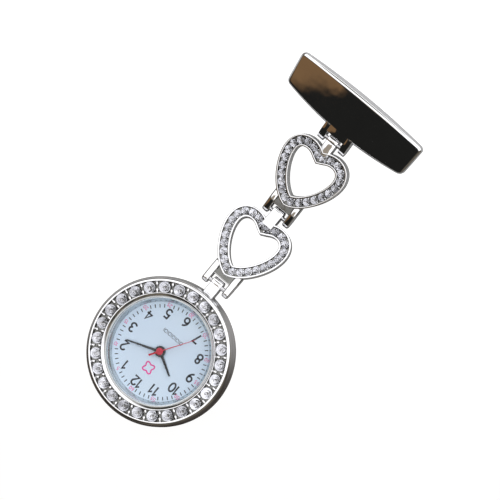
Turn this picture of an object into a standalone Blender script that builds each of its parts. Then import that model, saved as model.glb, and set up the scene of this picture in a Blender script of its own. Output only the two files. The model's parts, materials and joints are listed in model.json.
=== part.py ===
"""A nurse's fob watch: a stone-set quartz watch on two stone-set heart links under a pin brooch.

The watch lies face up. The origin is the centre of the case back's outer face, +Z runs up through the
hands' axis and +Y runs along the chain to the brooch. Sizes are in millimetres and become metres on the way
into Blender. The dial's 12 points along -Y, so a wearer reads it by lifting the watch.
"""

from math import asin, cos, degrees, pi, radians, sin, sqrt

import bmesh
import bpy
from mathutils import Matrix, Vector

MM = 0.001

# Watch case
CASE_RADIUS = 16.0
CASE_BORE = 13.05
CASE_TOP = 4.9
RING_STEPS = 36
BACK_RADIUS = 14.0
BACK_THICKNESS = 0.7

# Bezel, its stones, and the crystal
BEZEL_TOP = 7.2
CHANNEL_INNER = 12.45
CHANNEL_OUTER = 14.85
CHANNEL_FLOOR = 6.0
BEZEL_STONES = 26
CRYSTAL_RADIUS = 11.45
CRYSTAL_BOTTOM = 6.05
CRYSTAL_TOP = 7.0

# Dial and hands
DIAL_RADIUS = 11.65
DIAL_TOP = 4.85
DIAL_BOTTOM = 4.55
HOUR_ANGLE = 299.0
MINUTE_ANGLE = 68.7
SECOND_ANGLE = 212.7
HOUR_REACH = 5.6
MINUTE_REACH = 7.8
SECOND_REACH = 8.2

# Movement levels and wheel train
PLATE_RADIUS = 10.2
PLATE_BOTTOM = 3.0
PLATE_TOP = 3.6
BRIDGE_BOTTOM = 1.0
BRIDGE_TOP = 1.35
TRAIN_DISTANCE = 3.9
SECOND_STAGE_DISTANCE = 3.95
MOTION_DISTANCE = 3.2
ROTOR_STAGE_DISTANCE = 2.34
PIVOT_RADIUS = 0.12
PIVOT_HOLE = 0.16
STEM_HEIGHT = 1.9
PILLARS = ((-3.2, -3.2), (0.2, -5.3), (-4.4, 1.6))
BATTERY_CENTRE = (6.66, 1.79)
BATTERY_RADIUS = 2.9
STRAP_POST = (7.55, 5.3)

# Chain: hinge centres in the YZ plane, and the tilt of each piece in degrees about +X
LUG_HINGE = (18.5, 3.6)
LINK_PITCH = 19.6
MIDDLE_HINGE_HEIGHT = 1.4
UPPER_HINGE_HEIGHT = 4.6
BROOCH_TILT = 20.0
KNUCKLE_RADIUS = 1.3
KNUCKLE_WIDTH = 2.6
FORK_GAP = 4.1
FORK_WIDTH = 7.2
HINGE_PIN_RADIUS = 0.45
HINGE_HOLE_RADIUS = 0.5

# Heart links
HEART_HALF_WIDTH = 7.85
HEART_HEIGHT = 15.35
HEART_TIP = 2.5
HEART_HALF_THICKNESS = 1.25
BAND_WIDTH = 2.6
RIM_WIDTH = 0.42
HEART_CHANNEL_FLOOR = 0.1
HEART_STONES = 24

# Brooch
PLATE_BOTTOM_EDGE = 2.6
PLATE_TOP_EDGE = 12.3
TOP_BULGE = 0.8
BOTTOM_BULGE = 1.3
PLATE_HALF_TOP = 16.5
PLATE_HALF_BOTTOM = 15.8
FACE_HEIGHT = 1.3
FACE_ARCH = 0.95
PLATE_BACK = -1.1
PIN_LINE = (7.0, -5.88)
PIN_HINGE_X = -12.5
CATCH_X = 11.9


# ---------------------------------------------------------------- scene, finishes and placing

for leftover in list(bpy.data.objects):
    bpy.data.objects.remove(leftover, do_unlink=True)

WATCH = bpy.data.collections.new("nurse_fob_watch")
CUTTERS = bpy.data.collections.new("cutters")
bpy.context.scene.collection.children.link(WATCH)
bpy.context.scene.collection.children.link(CUTTERS)


def finish(name, colour, roughness, metallic=0.0, alpha=1.0):
    """A Principled material, made once for each name."""
    found = bpy.data.materials.get(name)
    if found:
        return found
    made = bpy.data.materials.new(name)
    made.use_nodes = True
    shader = made.node_tree.nodes["Principled BSDF"]
    shader.inputs["Base Color"].default_value = (*colour, 1.0)
    shader.inputs["Roughness"].default_value = roughness
    shader.inputs["Metallic"].default_value = metallic
    shader.inputs["Alpha"].default_value = alpha
    return made


CHROME = finish("chrome_plate", (0.78, 0.78, 0.79), 0.08, 1.0)
STEEL = finish("brushed_steel", (0.62, 0.62, 0.63), 0.3, 1.0)
STONE = finish("clear_stone", (0.86, 0.88, 0.93), 0.05, 0.3)
GLASS = finish("mineral_glass", (0.9, 0.95, 1.0), 0.02, 0.0, 0.3)
DIAL_PAINT = finish("dial_paint", (0.72, 0.8, 0.9), 0.45)
REHAUT_PAINT = finish("rehaut_paint", (0.6, 0.68, 0.76), 0.4)
BLACK_PAINT = finish("black_paint", (0.01, 0.01, 0.012), 0.35)
RED_PAINT = finish("red_paint", (0.55, 0.03, 0.06), 0.35)
BRASS = finish("brass", (0.72, 0.52, 0.2), 0.3, 1.0)
NYLON = finish("white_nylon", (0.85, 0.86, 0.84), 0.5)
RUBBER = finish("black_rubber", (0.02, 0.02, 0.02), 0.8)
BOARD = finish("green_board", (0.05, 0.25, 0.12), 0.5)
EPOXY = finish("black_epoxy", (0.02, 0.02, 0.025), 0.4)
COPPER = finish("copper_wire", (0.72, 0.33, 0.16), 0.35, 1.0)
MAGNET = finish("magnet_steel", (0.25, 0.25, 0.27), 0.4, 1.0)


def frame_at(name, at, tilt=(0.0, 0.0, 0.0), parent=None):
    """An empty on a joint's axis, which carries the pieces that turn about it."""
    empty = bpy.data.objects.new(name, None)
    empty.location = Vector(at) * MM
    empty.rotation_euler = [radians(angle) for angle in tilt]
    empty.parent = parent
    WATCH.objects.link(empty)
    return empty


def placed(name, mesh, material, parent=None):
    mesh.materials.clear()
    mesh.materials.append(material)
    mesh.shade_smooth()
    mesh.set_sharp_from_angle(angle=radians(35))
    piece = bpy.data.objects.new(name, mesh)
    piece.parent = parent
    WATCH.objects.link(piece)
    return piece


def as_tool(piece):
    """Hides a shape that only cuts or adds to another."""
    for home in list(piece.users_collection):
        home.objects.unlink(piece)
    CUTTERS.objects.link(piece)
    piece.hide_render = True
    piece.display_type = "WIRE"
    return piece


def combine(piece, other, operation):
    modifier = piece.modifiers.new(f"{operation.lower()}_{other.name}", "BOOLEAN")
    modifier.operation = operation
    modifier.solver = "EXACT"
    modifier.object = as_tool(other)
    return piece


def cut(piece, *others):
    for other in others:
        combine(piece, other, "DIFFERENCE")
    return piece


def join(piece, *others):
    for other in others:
        combine(piece, other, "UNION")
    return piece


# ---------------------------------------------------------------- shapes


def turned(name, profile, material, parent=None, steps=RING_STEPS, ring=False, centre=(0.0, 0.0)):
    """A turned solid. The profile of (radius, height) runs down the outer side; a ring's profile closes."""
    points = [(radius * MM, 0.0, height * MM) for radius, height in profile]
    edges = [(i, i + 1) for i in range(len(points) - 1)]
    if ring:
        edges.append((len(points) - 1, 0))
    mesh = bpy.data.meshes.new(name)
    mesh.from_pydata(points, edges, [])
    mesh.materials.append(material)
    piece = bpy.data.objects.new(name, mesh)
    piece.location = (centre[0] * MM, centre[1] * MM, 0.0)
    piece.parent = parent
    WATCH.objects.link(piece)
    screw = piece.modifiers.new("turn", "SCREW")
    screw.steps = steps
    screw.render_steps = steps
    screw.use_merge_vertices = True
    screw.merge_threshold = 0.000001
    screw.use_smooth_shade = False
    return piece


def disc(name, radius, low, high, material, parent=None, steps=16, centre=(0.0, 0.0)):
    profile = [(0.0, high), (radius, high), (radius, low), (0.0, low)]
    return turned(name, profile, material, parent, steps, centre=centre)


def washer(name, inner, outer, low, high, material, parent=None, steps=16, centre=(0.0, 0.0)):
    profile = [(inner, high), (outer, high), (outer, low), (inner, low)]
    return turned(name, profile, material, parent, steps, ring=True, centre=centre)


def extruded(name, loops, low, high, material, parent=None, along="Z"):
    """A flat outline, with any holes as further loops, given thickness from low to high along an axis.

    Along Z the loops are (x, y), and along X they are (y, z).
    """
    curve = bpy.data.curves.new(name, "CURVE")
    curve.dimensions = "2D"
    curve.fill_mode = "BOTH"
    curve.extrude = (high - low) / 2
    for loop in loops:
        spline = curve.splines.new("POLY")
        spline.points.add(len(loop) - 1)
        for point, (first, second) in zip(spline.points, loop):
            point.co = (first, second, 0.0, 1.0)
        spline.use_cyclic_u = True
    drawing = bpy.data.objects.new(name + "_drawing", curve)
    WATCH.objects.link(drawing)
    graph = bpy.context.evaluated_depsgraph_get()
    mesh = bpy.data.meshes.new_from_object(drawing.evaluated_get(graph))
    bpy.data.objects.remove(drawing, do_unlink=True)
    turn = Matrix.Identity(4)
    if along == "X":
        turn = Matrix(((0, 0, 1, 0), (1, 0, 0, 0), (0, 1, 0, 0), (0, 0, 0, 1)))
    shape = bmesh.new()
    shape.from_mesh(mesh)
    bmesh.ops.remove_doubles(shape, verts=shape.verts, dist=0.0001)
    middle = Matrix.Translation((0.0, 0.0, (low + high) / 2))
    bmesh.ops.transform(shape, matrix=Matrix.Scale(MM, 4) @ turn @ middle, verts=shape.verts)
    bmesh.ops.recalc_face_normals(shape, faces=shape.faces)
    shape.to_mesh(mesh)
    shape.free()
    mesh.name = name
    return placed(name, mesh, material, parent)


def block(name, low, high, material, parent=None):
    """A box between two corners."""
    size = Vector(high) - Vector(low)
    middle = (Vector(high) + Vector(low)) / 2
    shape = bmesh.new()
    bmesh.ops.create_cube(shape, size=1.0)
    bmesh.ops.scale(shape, vec=size * MM, verts=shape.verts)
    bmesh.ops.translate(shape, vec=middle * MM, verts=shape.verts)
    mesh = bpy.data.meshes.new(name)
    shape.to_mesh(mesh)
    shape.free()
    return placed(name, mesh, material, parent)


def rod(name, radius, start, end, material, parent=None, steps=16, tip=None):
    """A round bar between two points, tapering to the tip radius if one is given."""
    way = Vector(end) - Vector(start)
    shape = bmesh.new()
    bmesh.ops.create_cone(
        shape,
        cap_ends=True,
        segments=steps,
        radius1=radius * MM,
        radius2=(radius if tip is None else tip) * MM,
        depth=way.length * MM,
    )
    place = Matrix.Translation((Vector(start) + Vector(end)) / 2 * MM)
    aim = way.to_track_quat("Z", "Y").to_matrix().to_4x4()
    bmesh.ops.transform(shape, matrix=place @ aim, verts=shape.verts)
    mesh = bpy.data.meshes.new(name)
    shape.to_mesh(mesh)
    shape.free()
    return placed(name, mesh, material, parent)


def circle(radius, centre=(0.0, 0.0), count=16):
    angles = [2 * pi * i / count for i in range(count)]
    return [(centre[0] + radius * cos(a), centre[1] + radius * sin(a)) for a in angles]


def polar(distance, degrees):
    return distance * cos(radians(degrees)), distance * sin(radians(degrees))


# ---------------------------------------------------------------- frames of the chain


def link_slope(start, end):
    """A link's slope in degrees, and its length along Y, between hinges at these two heights."""
    slope = asin((end - start) / LINK_PITCH)
    return degrees(slope), LINK_PITCH * cos(slope)


LOWER_TILT, LOWER_RUN = link_slope(LUG_HINGE[1], MIDDLE_HINGE_HEIGHT)
UPPER_TILT, UPPER_RUN = link_slope(MIDDLE_HINGE_HEIGHT, UPPER_HINGE_HEIGHT)
MIDDLE_Y = LUG_HINGE[0] + LOWER_RUN
UPPER_Y = MIDDLE_Y + UPPER_RUN
LOWER_LINK = frame_at("lower_link_axis", (0.0, *LUG_HINGE), (LOWER_TILT, 0.0, 0.0))
UPPER_LINK = frame_at("upper_link_axis", (0.0, MIDDLE_Y, MIDDLE_HINGE_HEIGHT), (UPPER_TILT, 0.0, 0.0))
BROOCH = frame_at("brooch_axis", (0.0, UPPER_Y, UPPER_HINGE_HEIGHT), (BROOCH_TILT, 0.0, 0.0))
PIN_AXIS = frame_at("pin_stem_axis", (PIN_HINGE_X, *PIN_LINE), parent=BROOCH)
CATCH_AXIS = frame_at("catch_axis", (CATCH_X, *PIN_LINE), parent=BROOCH)
CROWN_AXIS = frame_at("crown_axis", (-15.0, 0.0, STEM_HEIGHT), (0.0, -90.0, 0.0))
HOUR_AXIS = frame_at("hour_axis", (0.0, 0.0, 0.0), (0.0, 0.0, -HOUR_ANGLE - 90.0))
MINUTE_AXIS = frame_at("minute_axis", (0.0, 0.0, 0.0), (0.0, 0.0, -MINUTE_ANGLE - 90.0))
SECOND_AXIS = frame_at("second_axis", (0.0, 0.0, 0.0), (0.0, 0.0, -SECOND_ANGLE - 90.0))


# ---------------------------------------------------------------- case, bezel and crystal


def knuckle(name, hinge_y, hinge_z, root_y, parent=None):
    """The block that a fork holds: a bar with a round end about the hinge pin."""
    turn = [radians(angle) for angle in range(90, -91, -15)]
    end = [(hinge_y + KNUCKLE_RADIUS * cos(a), hinge_z + KNUCKLE_RADIUS * sin(a)) for a in turn]
    root = [(root_y, hinge_z - KNUCKLE_RADIUS), (root_y, hinge_z + KNUCKLE_RADIUS)]
    half = KNUCKLE_WIDTH / 2
    return extruded(name, [end + root], -half, half, CHROME, parent, along="X")


def pin_hole(name, hinge_y, hinge_z, parent=None):
    reach = FORK_WIDTH
    ends = (-reach, hinge_y, hinge_z), (reach, hinge_y, hinge_z)
    return rod(name, HINGE_HOLE_RADIUS, *ends, CHROME, parent)


def make_case():
    """Turned middle case with the lug block at 6 o'clock and the crown's recess at 3 o'clock."""
    profile = [
        (CASE_BORE, CASE_TOP),
        (15.75, CASE_TOP),
        (CASE_RADIUS, 4.4),
        (CASE_RADIUS, 3.4),
        (15.75, 2.1),
        (15.2, 1.0),
        (14.5, 0.25),
        (14.15, 0.1),
        (14.08, 0.1),
        (14.08, 0.78),
        (13.5, 0.78),
        (13.5, 1.22),
        (CASE_BORE, 1.22),
    ]
    case = turned("case_body", profile, CHROME, ring=True)
    join(case, knuckle("lug_block", *LUG_HINGE, CASE_RADIUS - 1.0))
    cut(
        case,
        pin_hole("lug_hole", *LUG_HINGE),
        rod("crown_recess", 1.4, (-18.0, 0.0, STEM_HEIGHT), (-14.85, 0.0, STEM_HEIGHT), CHROME),
        rod("tube_hole", 0.75, (-16.0, 0.0, STEM_HEIGHT), (-12.0, 0.0, STEM_HEIGHT), CHROME, steps=12),
    )
    ends = (-14.85, 0.0, STEM_HEIGHT), (-13.15, 0.0, STEM_HEIGHT)
    tube = rod("crown_tube", 0.7, *ends, STEEL, steps=12)
    cut(tube, rod("tube_bore", 0.46, (-16.0, 0.0, STEM_HEIGHT), (-12.0, 0.0, STEM_HEIGHT), STEEL, steps=12))


def make_case_back():
    """Pressed-in back with its inner lip, a lifting notch in its edge, and the gasket round the lip."""
    profile = [
        (0.0, BACK_THICKNESS),
        (12.45, BACK_THICKNESS),
        (12.45, 1.4),
        (12.95, 1.4),
        (12.95, BACK_THICKNESS),
        (BACK_RADIUS, BACK_THICKNESS),
        (BACK_RADIUS, 0.25),
        (13.7, 0.0),
        (0.0, 0.0),
    ]
    back = turned("case_back", profile, STEEL)
    cut(back, block("lifting_notch", (-1.2, -15.0, -1.0), (1.2, -13.6, 0.4), STEEL))
    section = [(13.22, 1.18), (13.42, 0.98), (13.22, 0.78), (13.02, 0.98)]
    turned("back_gasket", section, RUBBER, ring=True)


def make_bezel():
    """Bezel with a channel for the stones between an outer and an inner rim."""
    profile = [
        (CHANNEL_OUTER, BEZEL_TOP),
        (15.35, BEZEL_TOP),
        (15.75, 6.7),
        (15.95, 6.0),
        (15.95, 5.3),
        (15.75, 4.97),
        (13.0, 4.97),
        (13.0, 4.4),
        (11.75, 4.4),
        (11.75, CRYSTAL_TOP),
        (12.1, 7.35),
        (CHANNEL_INNER, 7.35),
        (CHANNEL_INNER, CHANNEL_FLOOR),
        (CHANNEL_OUTER, CHANNEL_FLOOR),
    ]
    turned("bezel", profile, CHROME, ring=True)


def make_crystal():
    disc("crystal", CRYSTAL_RADIUS, CRYSTAL_BOTTOM, CRYSTAL_TOP, GLASS, steps=RING_STEPS)
    washer("crystal_gasket", 11.5, 11.7, CRYSTAL_BOTTOM, 6.95, NYLON, steps=RING_STEPS)
    slope = [(11.3, 5.95), (11.65, 5.95), (11.65, 4.92), (10.6, 4.92)]
    turned("rehaut_ring", slope, REHAUT_PAINT, ring=True)


def stone_row(name, inner, outer, floor, side, crest, parent=None):
    """A row of stones as one ring: its crest rises at each stone and dips between two of them.

    inner and outer are loops of (x, y) with two points for each stone.
    """
    shape = bmesh.new()
    sections = []
    for index, (near, far) in enumerate(zip(inner, outer)):
        ridge = crest if index % 2 else side
        middle = [(a + b) / 2 for a, b in zip(near, far)]
        corners = [
            (*near, floor),
            (*near, side),
            (*middle, ridge),
            (*far, side),
            (*far, floor),
        ]
        sections.append([shape.verts.new(Vector(corner) * MM) for corner in corners])
    for one, two in zip(sections, sections[1:] + sections[:1]):
        for k in range(len(one)):
            following = (k + 1) % len(one)
            shape.faces.new((one[k], one[following], two[following], two[k]))
    bmesh.ops.recalc_face_normals(shape, faces=shape.faces)
    mesh = bpy.data.meshes.new(name)
    shape.to_mesh(mesh)
    shape.free()
    return placed(name, mesh, STONE, parent)


# ---------------------------------------------------------------- dial and hands


def make_dial():
    washer("dial", 1.0, DIAL_RADIUS, DIAL_BOTTOM, DIAL_TOP, DIAL_PAINT, steps=RING_STEPS)


def hand(name, hub, hole, reach, root_width, tip_width, low, high, material, parent, tail=0.0, tail_width=0.0):
    """A baton hand along its frame's +X, with a round hub and an optional tail."""
    half = root_width / 2
    outline = [(0.0, -half), (reach, -tip_width / 2), (reach, tip_width / 2), (0.0, half)]
    if tail:
        outline += [(0.0, tail_width / 2), (-tail, tail_width / 2)]
        outline += [(-tail, -tail_width / 2), (0.0, -tail_width / 2)]
    piece = extruded(name, [outline], low, high, material, parent)
    join(piece, disc(name + "_hub", hub, low - 0.02, high + 0.02, material, parent))
    cut(piece, disc(name + "_hole", hole, low - 1.0, high + 1.0, material, parent))
    return piece


def make_hands():
    hand("hour_hand", 1.2, 0.88, HOUR_REACH, 0.62, 0.5, 5.1, 5.26, BLACK_PAINT, HOUR_AXIS)
    hand("minute_hand", 1.15, 0.65, MINUTE_REACH, 0.55, 0.38, 5.38, 5.52, BLACK_PAINT, MINUTE_AXIS)
    sweep = extruded(
        "second_hand",
        [[(-2.5, -0.24), (-0.1, -0.2), (SECOND_REACH, -0.07), (SECOND_REACH, 0.07), (-0.1, 0.2), (-2.5, 0.24)]],
        5.7,
        5.8,
        RED_PAINT,
        SECOND_AXIS,
    )
    join(sweep, disc("second_boss", 0.77, 5.66, 5.93, RED_PAINT, SECOND_AXIS))
    cut(sweep, disc("second_socket", 0.25, 5.0, 5.86, RED_PAINT, SECOND_AXIS, steps=12))


# ---------------------------------------------------------------- movement


def gear_outline(teeth, pitch_radius, tooth_at=0.0):
    """Pointed teeth about a pitch circle, one of them centred at the angle tooth_at, in degrees."""
    module = 2 * pitch_radius / teeth
    step = 2 * pi / teeth
    points = []
    for index in range(teeth):
        middle = radians(tooth_at) + index * step
        for shift, radius in ((0.0, 0.75), (0.5, -0.95)):
            reach = pitch_radius + radius * module
            angle = middle + shift * step
            points.append((reach * cos(angle), reach * sin(angle)))
    return points


def gear(name, teeth, pitch_radius, low, high, material, centre, bore=None, tooth_at=0.0):
    loops = [gear_outline(teeth, pitch_radius, tooth_at)]
    if bore:
        loops.append(circle(bore, count=12))
    piece = extruded(name, loops, low, high, material)
    piece.location = (centre[0] * MM, centre[1] * MM, 0.0)
    return piece


def meshing_angle(teeth, towards, partner_teeth, partner_at):
    """The angle of a tooth of this wheel that puts a gap where the partner's tooth comes.

    towards is the direction from this wheel to its partner and partner_at one tooth angle of the partner.
    """
    partner_step = 360.0 / partner_teeth
    step = 360.0 / teeth
    past = ((partner_at - (towards + 180.0)) / partner_step) % 1.0
    return towards + (0.5 - past) * step


THIRD_AT = 90.0
INTERMEDIATE_AT = -45.0
ROTOR_AT = -75.0
MINUTE_WHEEL_AT = 200.0
THIRD_CENTRE = polar(TRAIN_DISTANCE, THIRD_AT)
INTERMEDIATE_CENTRE = polar(SECOND_STAGE_DISTANCE, INTERMEDIATE_AT)
ROTOR_CENTRE = tuple(
    a + b for a, b in zip(INTERMEDIATE_CENTRE, polar(ROTOR_STAGE_DISTANCE, ROTOR_AT))
)
MINUTE_WHEEL_CENTRE = polar(MOTION_DISTANCE, MINUTE_WHEEL_AT)


def pitch_radii(distance, pinion, wheel):
    """The pitch radii of a pinion and a wheel whose centres are this far apart."""
    return distance * pinion / (pinion + wheel), distance * wheel / (pinion + wheel)


def make_plates():
    """Main plate with its pillars and pivot holes, the train bridge under the wheels, and the screws."""
    plate = disc("main_plate", PLATE_RADIUS, PLATE_BOTTOM, PLATE_TOP, NYLON, steps=RING_STEPS)
    posts = [("pillar", spot, 0.6, BRIDGE_TOP + 0.02) for spot in PILLARS]
    posts.append(("strap_post", STRAP_POST, 0.55, BRIDGE_BOTTOM))
    for index, (kind, spot, radius, foot) in enumerate(posts):
        join(plate, disc(f"{kind}_{index}", radius, foot, PLATE_BOTTOM + 0.2, NYLON, steps=12, centre=spot))
        cut(plate, disc(f"{kind}_hole_{index}", 0.3, 0.0, 2.5, NYLON, steps=8, centre=spot))
    join(plate, disc("minute_post", 0.3, PLATE_TOP - 0.2, 4.4, NYLON, steps=12, centre=MINUTE_WHEEL_CENTRE))
    cut(plate, disc("centre_hole", 0.48, 2.0, 5.0, NYLON, steps=12))
    bridge = disc("train_bridge", 6.0, BRIDGE_BOTTOM, BRIDGE_TOP, STEEL, steps=RING_STEPS, centre=(0.6, -0.5))
    cut(bridge, disc("battery_bay", BATTERY_RADIUS + 0.15, 0.0, 2.0, STEEL, steps=24, centre=BATTERY_CENTRE))
    for index, spot in enumerate(PILLARS):
        cut(bridge, disc(f"screw_hole_{index}", 0.3, 0.0, 2.0, STEEL, steps=8, centre=spot))
    cut(bridge, disc("second_pivot_hole", PIVOT_HOLE, 0.0, 2.0, STEEL, steps=8))
    arbors = {"third": THIRD_CENTRE, "intermediate": INTERMEDIATE_CENTRE, "rotor": ROTOR_CENTRE}
    for wheel, spot in arbors.items():
        cut(plate, disc(f"{wheel}_upper_hole", PIVOT_HOLE, 2.0, 3.4, NYLON, steps=8, centre=spot))
        cut(bridge, disc(f"{wheel}_lower_hole", PIVOT_HOLE, 0.0, 2.0, STEEL, steps=8, centre=spot))
    for index, spot in enumerate((*PILLARS, STRAP_POST)):
        name = f"bridge_screw_{index + 1}" if index < len(PILLARS) else "strap_screw"
        seat = BRIDGE_BOTTOM if index < len(PILLARS) else 0.9
        profile = [(0.0, 2.2), (0.26, 2.2), (0.26, seat - 0.04), (0.5, seat - 0.04), (0.5, 0.74), (0.0, 0.74)]
        turned(name, profile, STEEL, steps=8, centre=spot)


def make_train():
    """Rotor, intermediate wheel, second wheel, third wheel and centre wheel, each with its pinion."""
    second_pinion, third_wheel = pitch_radii(TRAIN_DISTANCE, 6, 45)
    third_pinion, centre_wheel = pitch_radii(TRAIN_DISTANCE, 6, 48)
    small_pinion, second_wheel = pitch_radii(SECOND_STAGE_DISTANCE, 6, 36)
    rotor_pinion, intermediate_wheel = pitch_radii(ROTOR_STAGE_DISTANCE, 6, 30)

    centre = gear("centre_wheel", 48, centre_wheel, 2.55, 2.75, BRASS, (0.0, 0.0), bore=0.27)
    pipe = washer("centre_pipe", 0.27, 0.4, 2.5, 5.3, BRASS, steps=12)
    join(centre, pipe)

    second = gear("second_wheel", 36, second_wheel, 1.55, 1.72, BRASS, (0.0, 0.0))
    join(
        second,
        gear("second_pinion", 6, second_pinion, 1.7, 2.4, STEEL, (0.0, 0.0)),
        disc("second_arbor", 0.22, 1.4, 5.83, STEEL, steps=12),
        disc("second_pivot", PIVOT_RADIUS, 1.05, 1.5, STEEL, steps=8),
    )

    wheel_at = meshing_angle(45, THIRD_AT + 180.0, 6, 0.0)
    pinion_at = meshing_angle(6, THIRD_AT + 180.0, 48, 0.0)
    third = gear("third_wheel", 45, third_wheel, 2.0, 2.18, BRASS, THIRD_CENTRE, tooth_at=wheel_at)
    join(
        third,
        gear("third_pinion", 6, third_pinion, 2.16, 2.9, STEEL, THIRD_CENTRE, tooth_at=pinion_at),
        disc("third_arbor", 0.22, 1.4, 2.95, STEEL, steps=8, centre=THIRD_CENTRE),
        disc("third_pivots", PIVOT_RADIUS, 1.05, 3.3, STEEL, steps=8, centre=THIRD_CENTRE),
    )

    pinion_at = meshing_angle(6, INTERMEDIATE_AT + 180.0, 36, 0.0)
    intermediate = gear(
        "intermediate_wheel", 30, intermediate_wheel, 2.0, 2.18, BRASS, INTERMEDIATE_CENTRE
    )
    join(
        intermediate,
        gear("intermediate_pinion", 6, small_pinion, 1.45, 2.05, STEEL, INTERMEDIATE_CENTRE, tooth_at=pinion_at),
        disc("intermediate_arbor", 0.22, 1.4, 2.95, STEEL, steps=8, centre=INTERMEDIATE_CENTRE),
        disc("intermediate_pivots", PIVOT_RADIUS, 1.05, 3.3, STEEL, steps=8, centre=INTERMEDIATE_CENTRE),
    )

    pinion_at = meshing_angle(6, ROTOR_AT + 180.0, 30, 0.0)
    rotor = disc("rotor", 0.6, 2.35, 2.8, MAGNET, steps=16, centre=ROTOR_CENTRE)
    join(
        rotor,
        gear("rotor_pinion", 6, rotor_pinion, 1.85, 2.4, STEEL, ROTOR_CENTRE, tooth_at=pinion_at),
        disc("rotor_arbor", 0.2, 1.4, 2.95, STEEL, steps=8, centre=ROTOR_CENTRE),
        disc("rotor_pivots", PIVOT_RADIUS, 1.05, 3.3, STEEL, steps=8, centre=ROTOR_CENTRE),
    )


def make_motion_work():
    """Cannon pinion, minute wheel and hour wheel, which turn the hour hand once for twelve turns."""
    cannon_radius, minute_radius = pitch_radii(MOTION_DISTANCE, 10, 30)
    small_radius, hour_radius = pitch_radii(MOTION_DISTANCE, 8, 32)
    cannon = gear("cannon_pinion", 10, cannon_radius, 3.68, 3.98, STEEL, (0.0, 0.0), bore=0.43)
    join(cannon, washer("cannon_pipe", 0.43, 0.62, 3.66, 5.58, STEEL, steps=16))
    wheel_at = meshing_angle(30, MINUTE_WHEEL_AT + 180.0, 10, 0.0)
    pinion_at = meshing_angle(8, MINUTE_WHEEL_AT + 180.0, 32, 0.0)
    minute = gear(
        "minute_wheel", 30, minute_radius, 3.7, 3.88, BRASS, MINUTE_WHEEL_CENTRE, bore=0.34, tooth_at=wheel_at
    )
    pinion = gear(
        "minute_pinion", 8, small_radius, 3.86, 4.38, BRASS, MINUTE_WHEEL_CENTRE, bore=0.34, tooth_at=pinion_at
    )
    join(minute, pinion)
    hour = gear("hour_wheel", 32, hour_radius, 4.08, 4.26, BRASS, (0.0, 0.0), bore=0.66)
    join(hour, washer("hour_pipe", 0.66, 0.85, 4.06, 5.3, BRASS, steps=16))


def make_motor_and_power():
    """Stepping motor's stator and coil, the circuit, the quartz can, the battery and its strap."""
    stator_outline = [
        (-4.6, -4.4),
        (5.0, -4.4),
        (5.0, -8.5),
        (3.8, -8.5),
        (3.8, -6.1),
        (-3.4, -6.1),
        (-3.4, -8.5),
        (-4.6, -8.5),
    ]
    holes = [circle(0.85, ROTOR_CENTRE), circle(0.7, PILLARS[1], 12)]
    extruded("stator", [stator_outline, *holes], 2.45, 2.65, STEEL)
    block("coil_core", (-4.6, -8.3, 2.2), (5.0, -7.7, 2.4), STEEL)
    window = [(-8.35, 2.14), (-7.65, 2.14), (-7.65, 2.46), (-8.35, 2.46)]
    extruded("coil", [circle(0.8, (-8.0, 2.1)), window], -3.2, 3.6, COPPER, along="X")
    board = [(-9.3, -2.5), (-8.4, -5.1), (-6.6, -7.3), (-5.0, -8.3), (-5.0, -2.5)]
    extruded("circuit_board", [board], 1.45, 1.6, BOARD)
    chip = block("control_chip", (-8.0, -5.2, 1.65), (-6.0, -3.4, 2.15), EPOXY)
    chip.modifiers.new("round", "BEVEL").width = 0.2 * MM
    rod("quartz_can", 0.7, (-8.0, 4.4, 1.95), (-4.8, 7.6, 1.95), STEEL)
    disc("battery", BATTERY_RADIUS, 1.0, 2.9, STEEL, steps=24, centre=BATTERY_CENTRE)
    strap_end = polar(4.6, 75.0)
    side = polar(0.7, 165.0)
    ends = [tuple(c + sign * e for c, e in zip(BATTERY_CENTRE, strap_end)) for sign in (1, -1)]
    corners = [tuple(e + sign * s for e, s in zip(end, side)) for end in ends for sign in (1, -1)]
    outline = [corners[0], corners[1], corners[3], corners[2]]
    strap = extruded("battery_strap", [outline], 0.78 + 0.12, 0.78 + 0.2, STEEL)
    cut(strap, disc("strap_hole", 0.3, 0.0, 2.0, STEEL, steps=8, centre=STRAP_POST))


def make_holder():
    """Moulded ring that centres the movement in the case and carries the dial."""
    profile = [
        (10.3, 4.5),
        (11.65, 4.5),
        (11.65, 4.3),
        (12.95, 4.3),
        (12.95, 1.5),
        (12.35, 1.5),
        (12.35, 0.8),
        (10.3, 0.8),
    ]
    holder = turned("movement_holder", profile, NYLON, ring=True)
    cut(holder, rod("stem_way", 0.6, (-14.0, 0.0, STEM_HEIGHT), (-9.0, 0.0, STEM_HEIGHT), NYLON, steps=12))


def make_crown():
    """Knurled crown on its stem, with the clutch pinion and the setting lever in the stem's groove."""
    knurl = gear_outline(20, 1.15)
    crown = extruded("crown", [knurl], 0.05, 1.15, CHROME, CROWN_AXIS)
    cut(crown, disc("crown_socket", 0.46, -1.0, 0.8, CHROME, CROWN_AXIS, steps=12))
    profile = [
        (0.0, 0.75),
        (0.4, 0.75),
        (0.4, -6.15),
        (0.28, -6.15),
        (0.28, -6.7),
        (0.4, -6.7),
        (0.4, -8.7),
        (0.0, -8.7),
    ]
    turned("stem", profile, STEEL, CROWN_AXIS, steps=12)
    teeth = [gear_outline(12, 0.68), circle(0.44, count=12)]
    extruded("clutch_pinion", teeth, -8.1, -7.4, STEEL, CROWN_AXIS)
    lever = block("setting_lever", (-8.55, 0.34, 1.75), (-8.3, 2.6, 2.0), STEEL)
    join(lever, block("lever_arm", (-8.55, 2.3, 1.7), (-6.2, 3.0, 2.05), STEEL))


# ---------------------------------------------------------------- heart links


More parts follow.
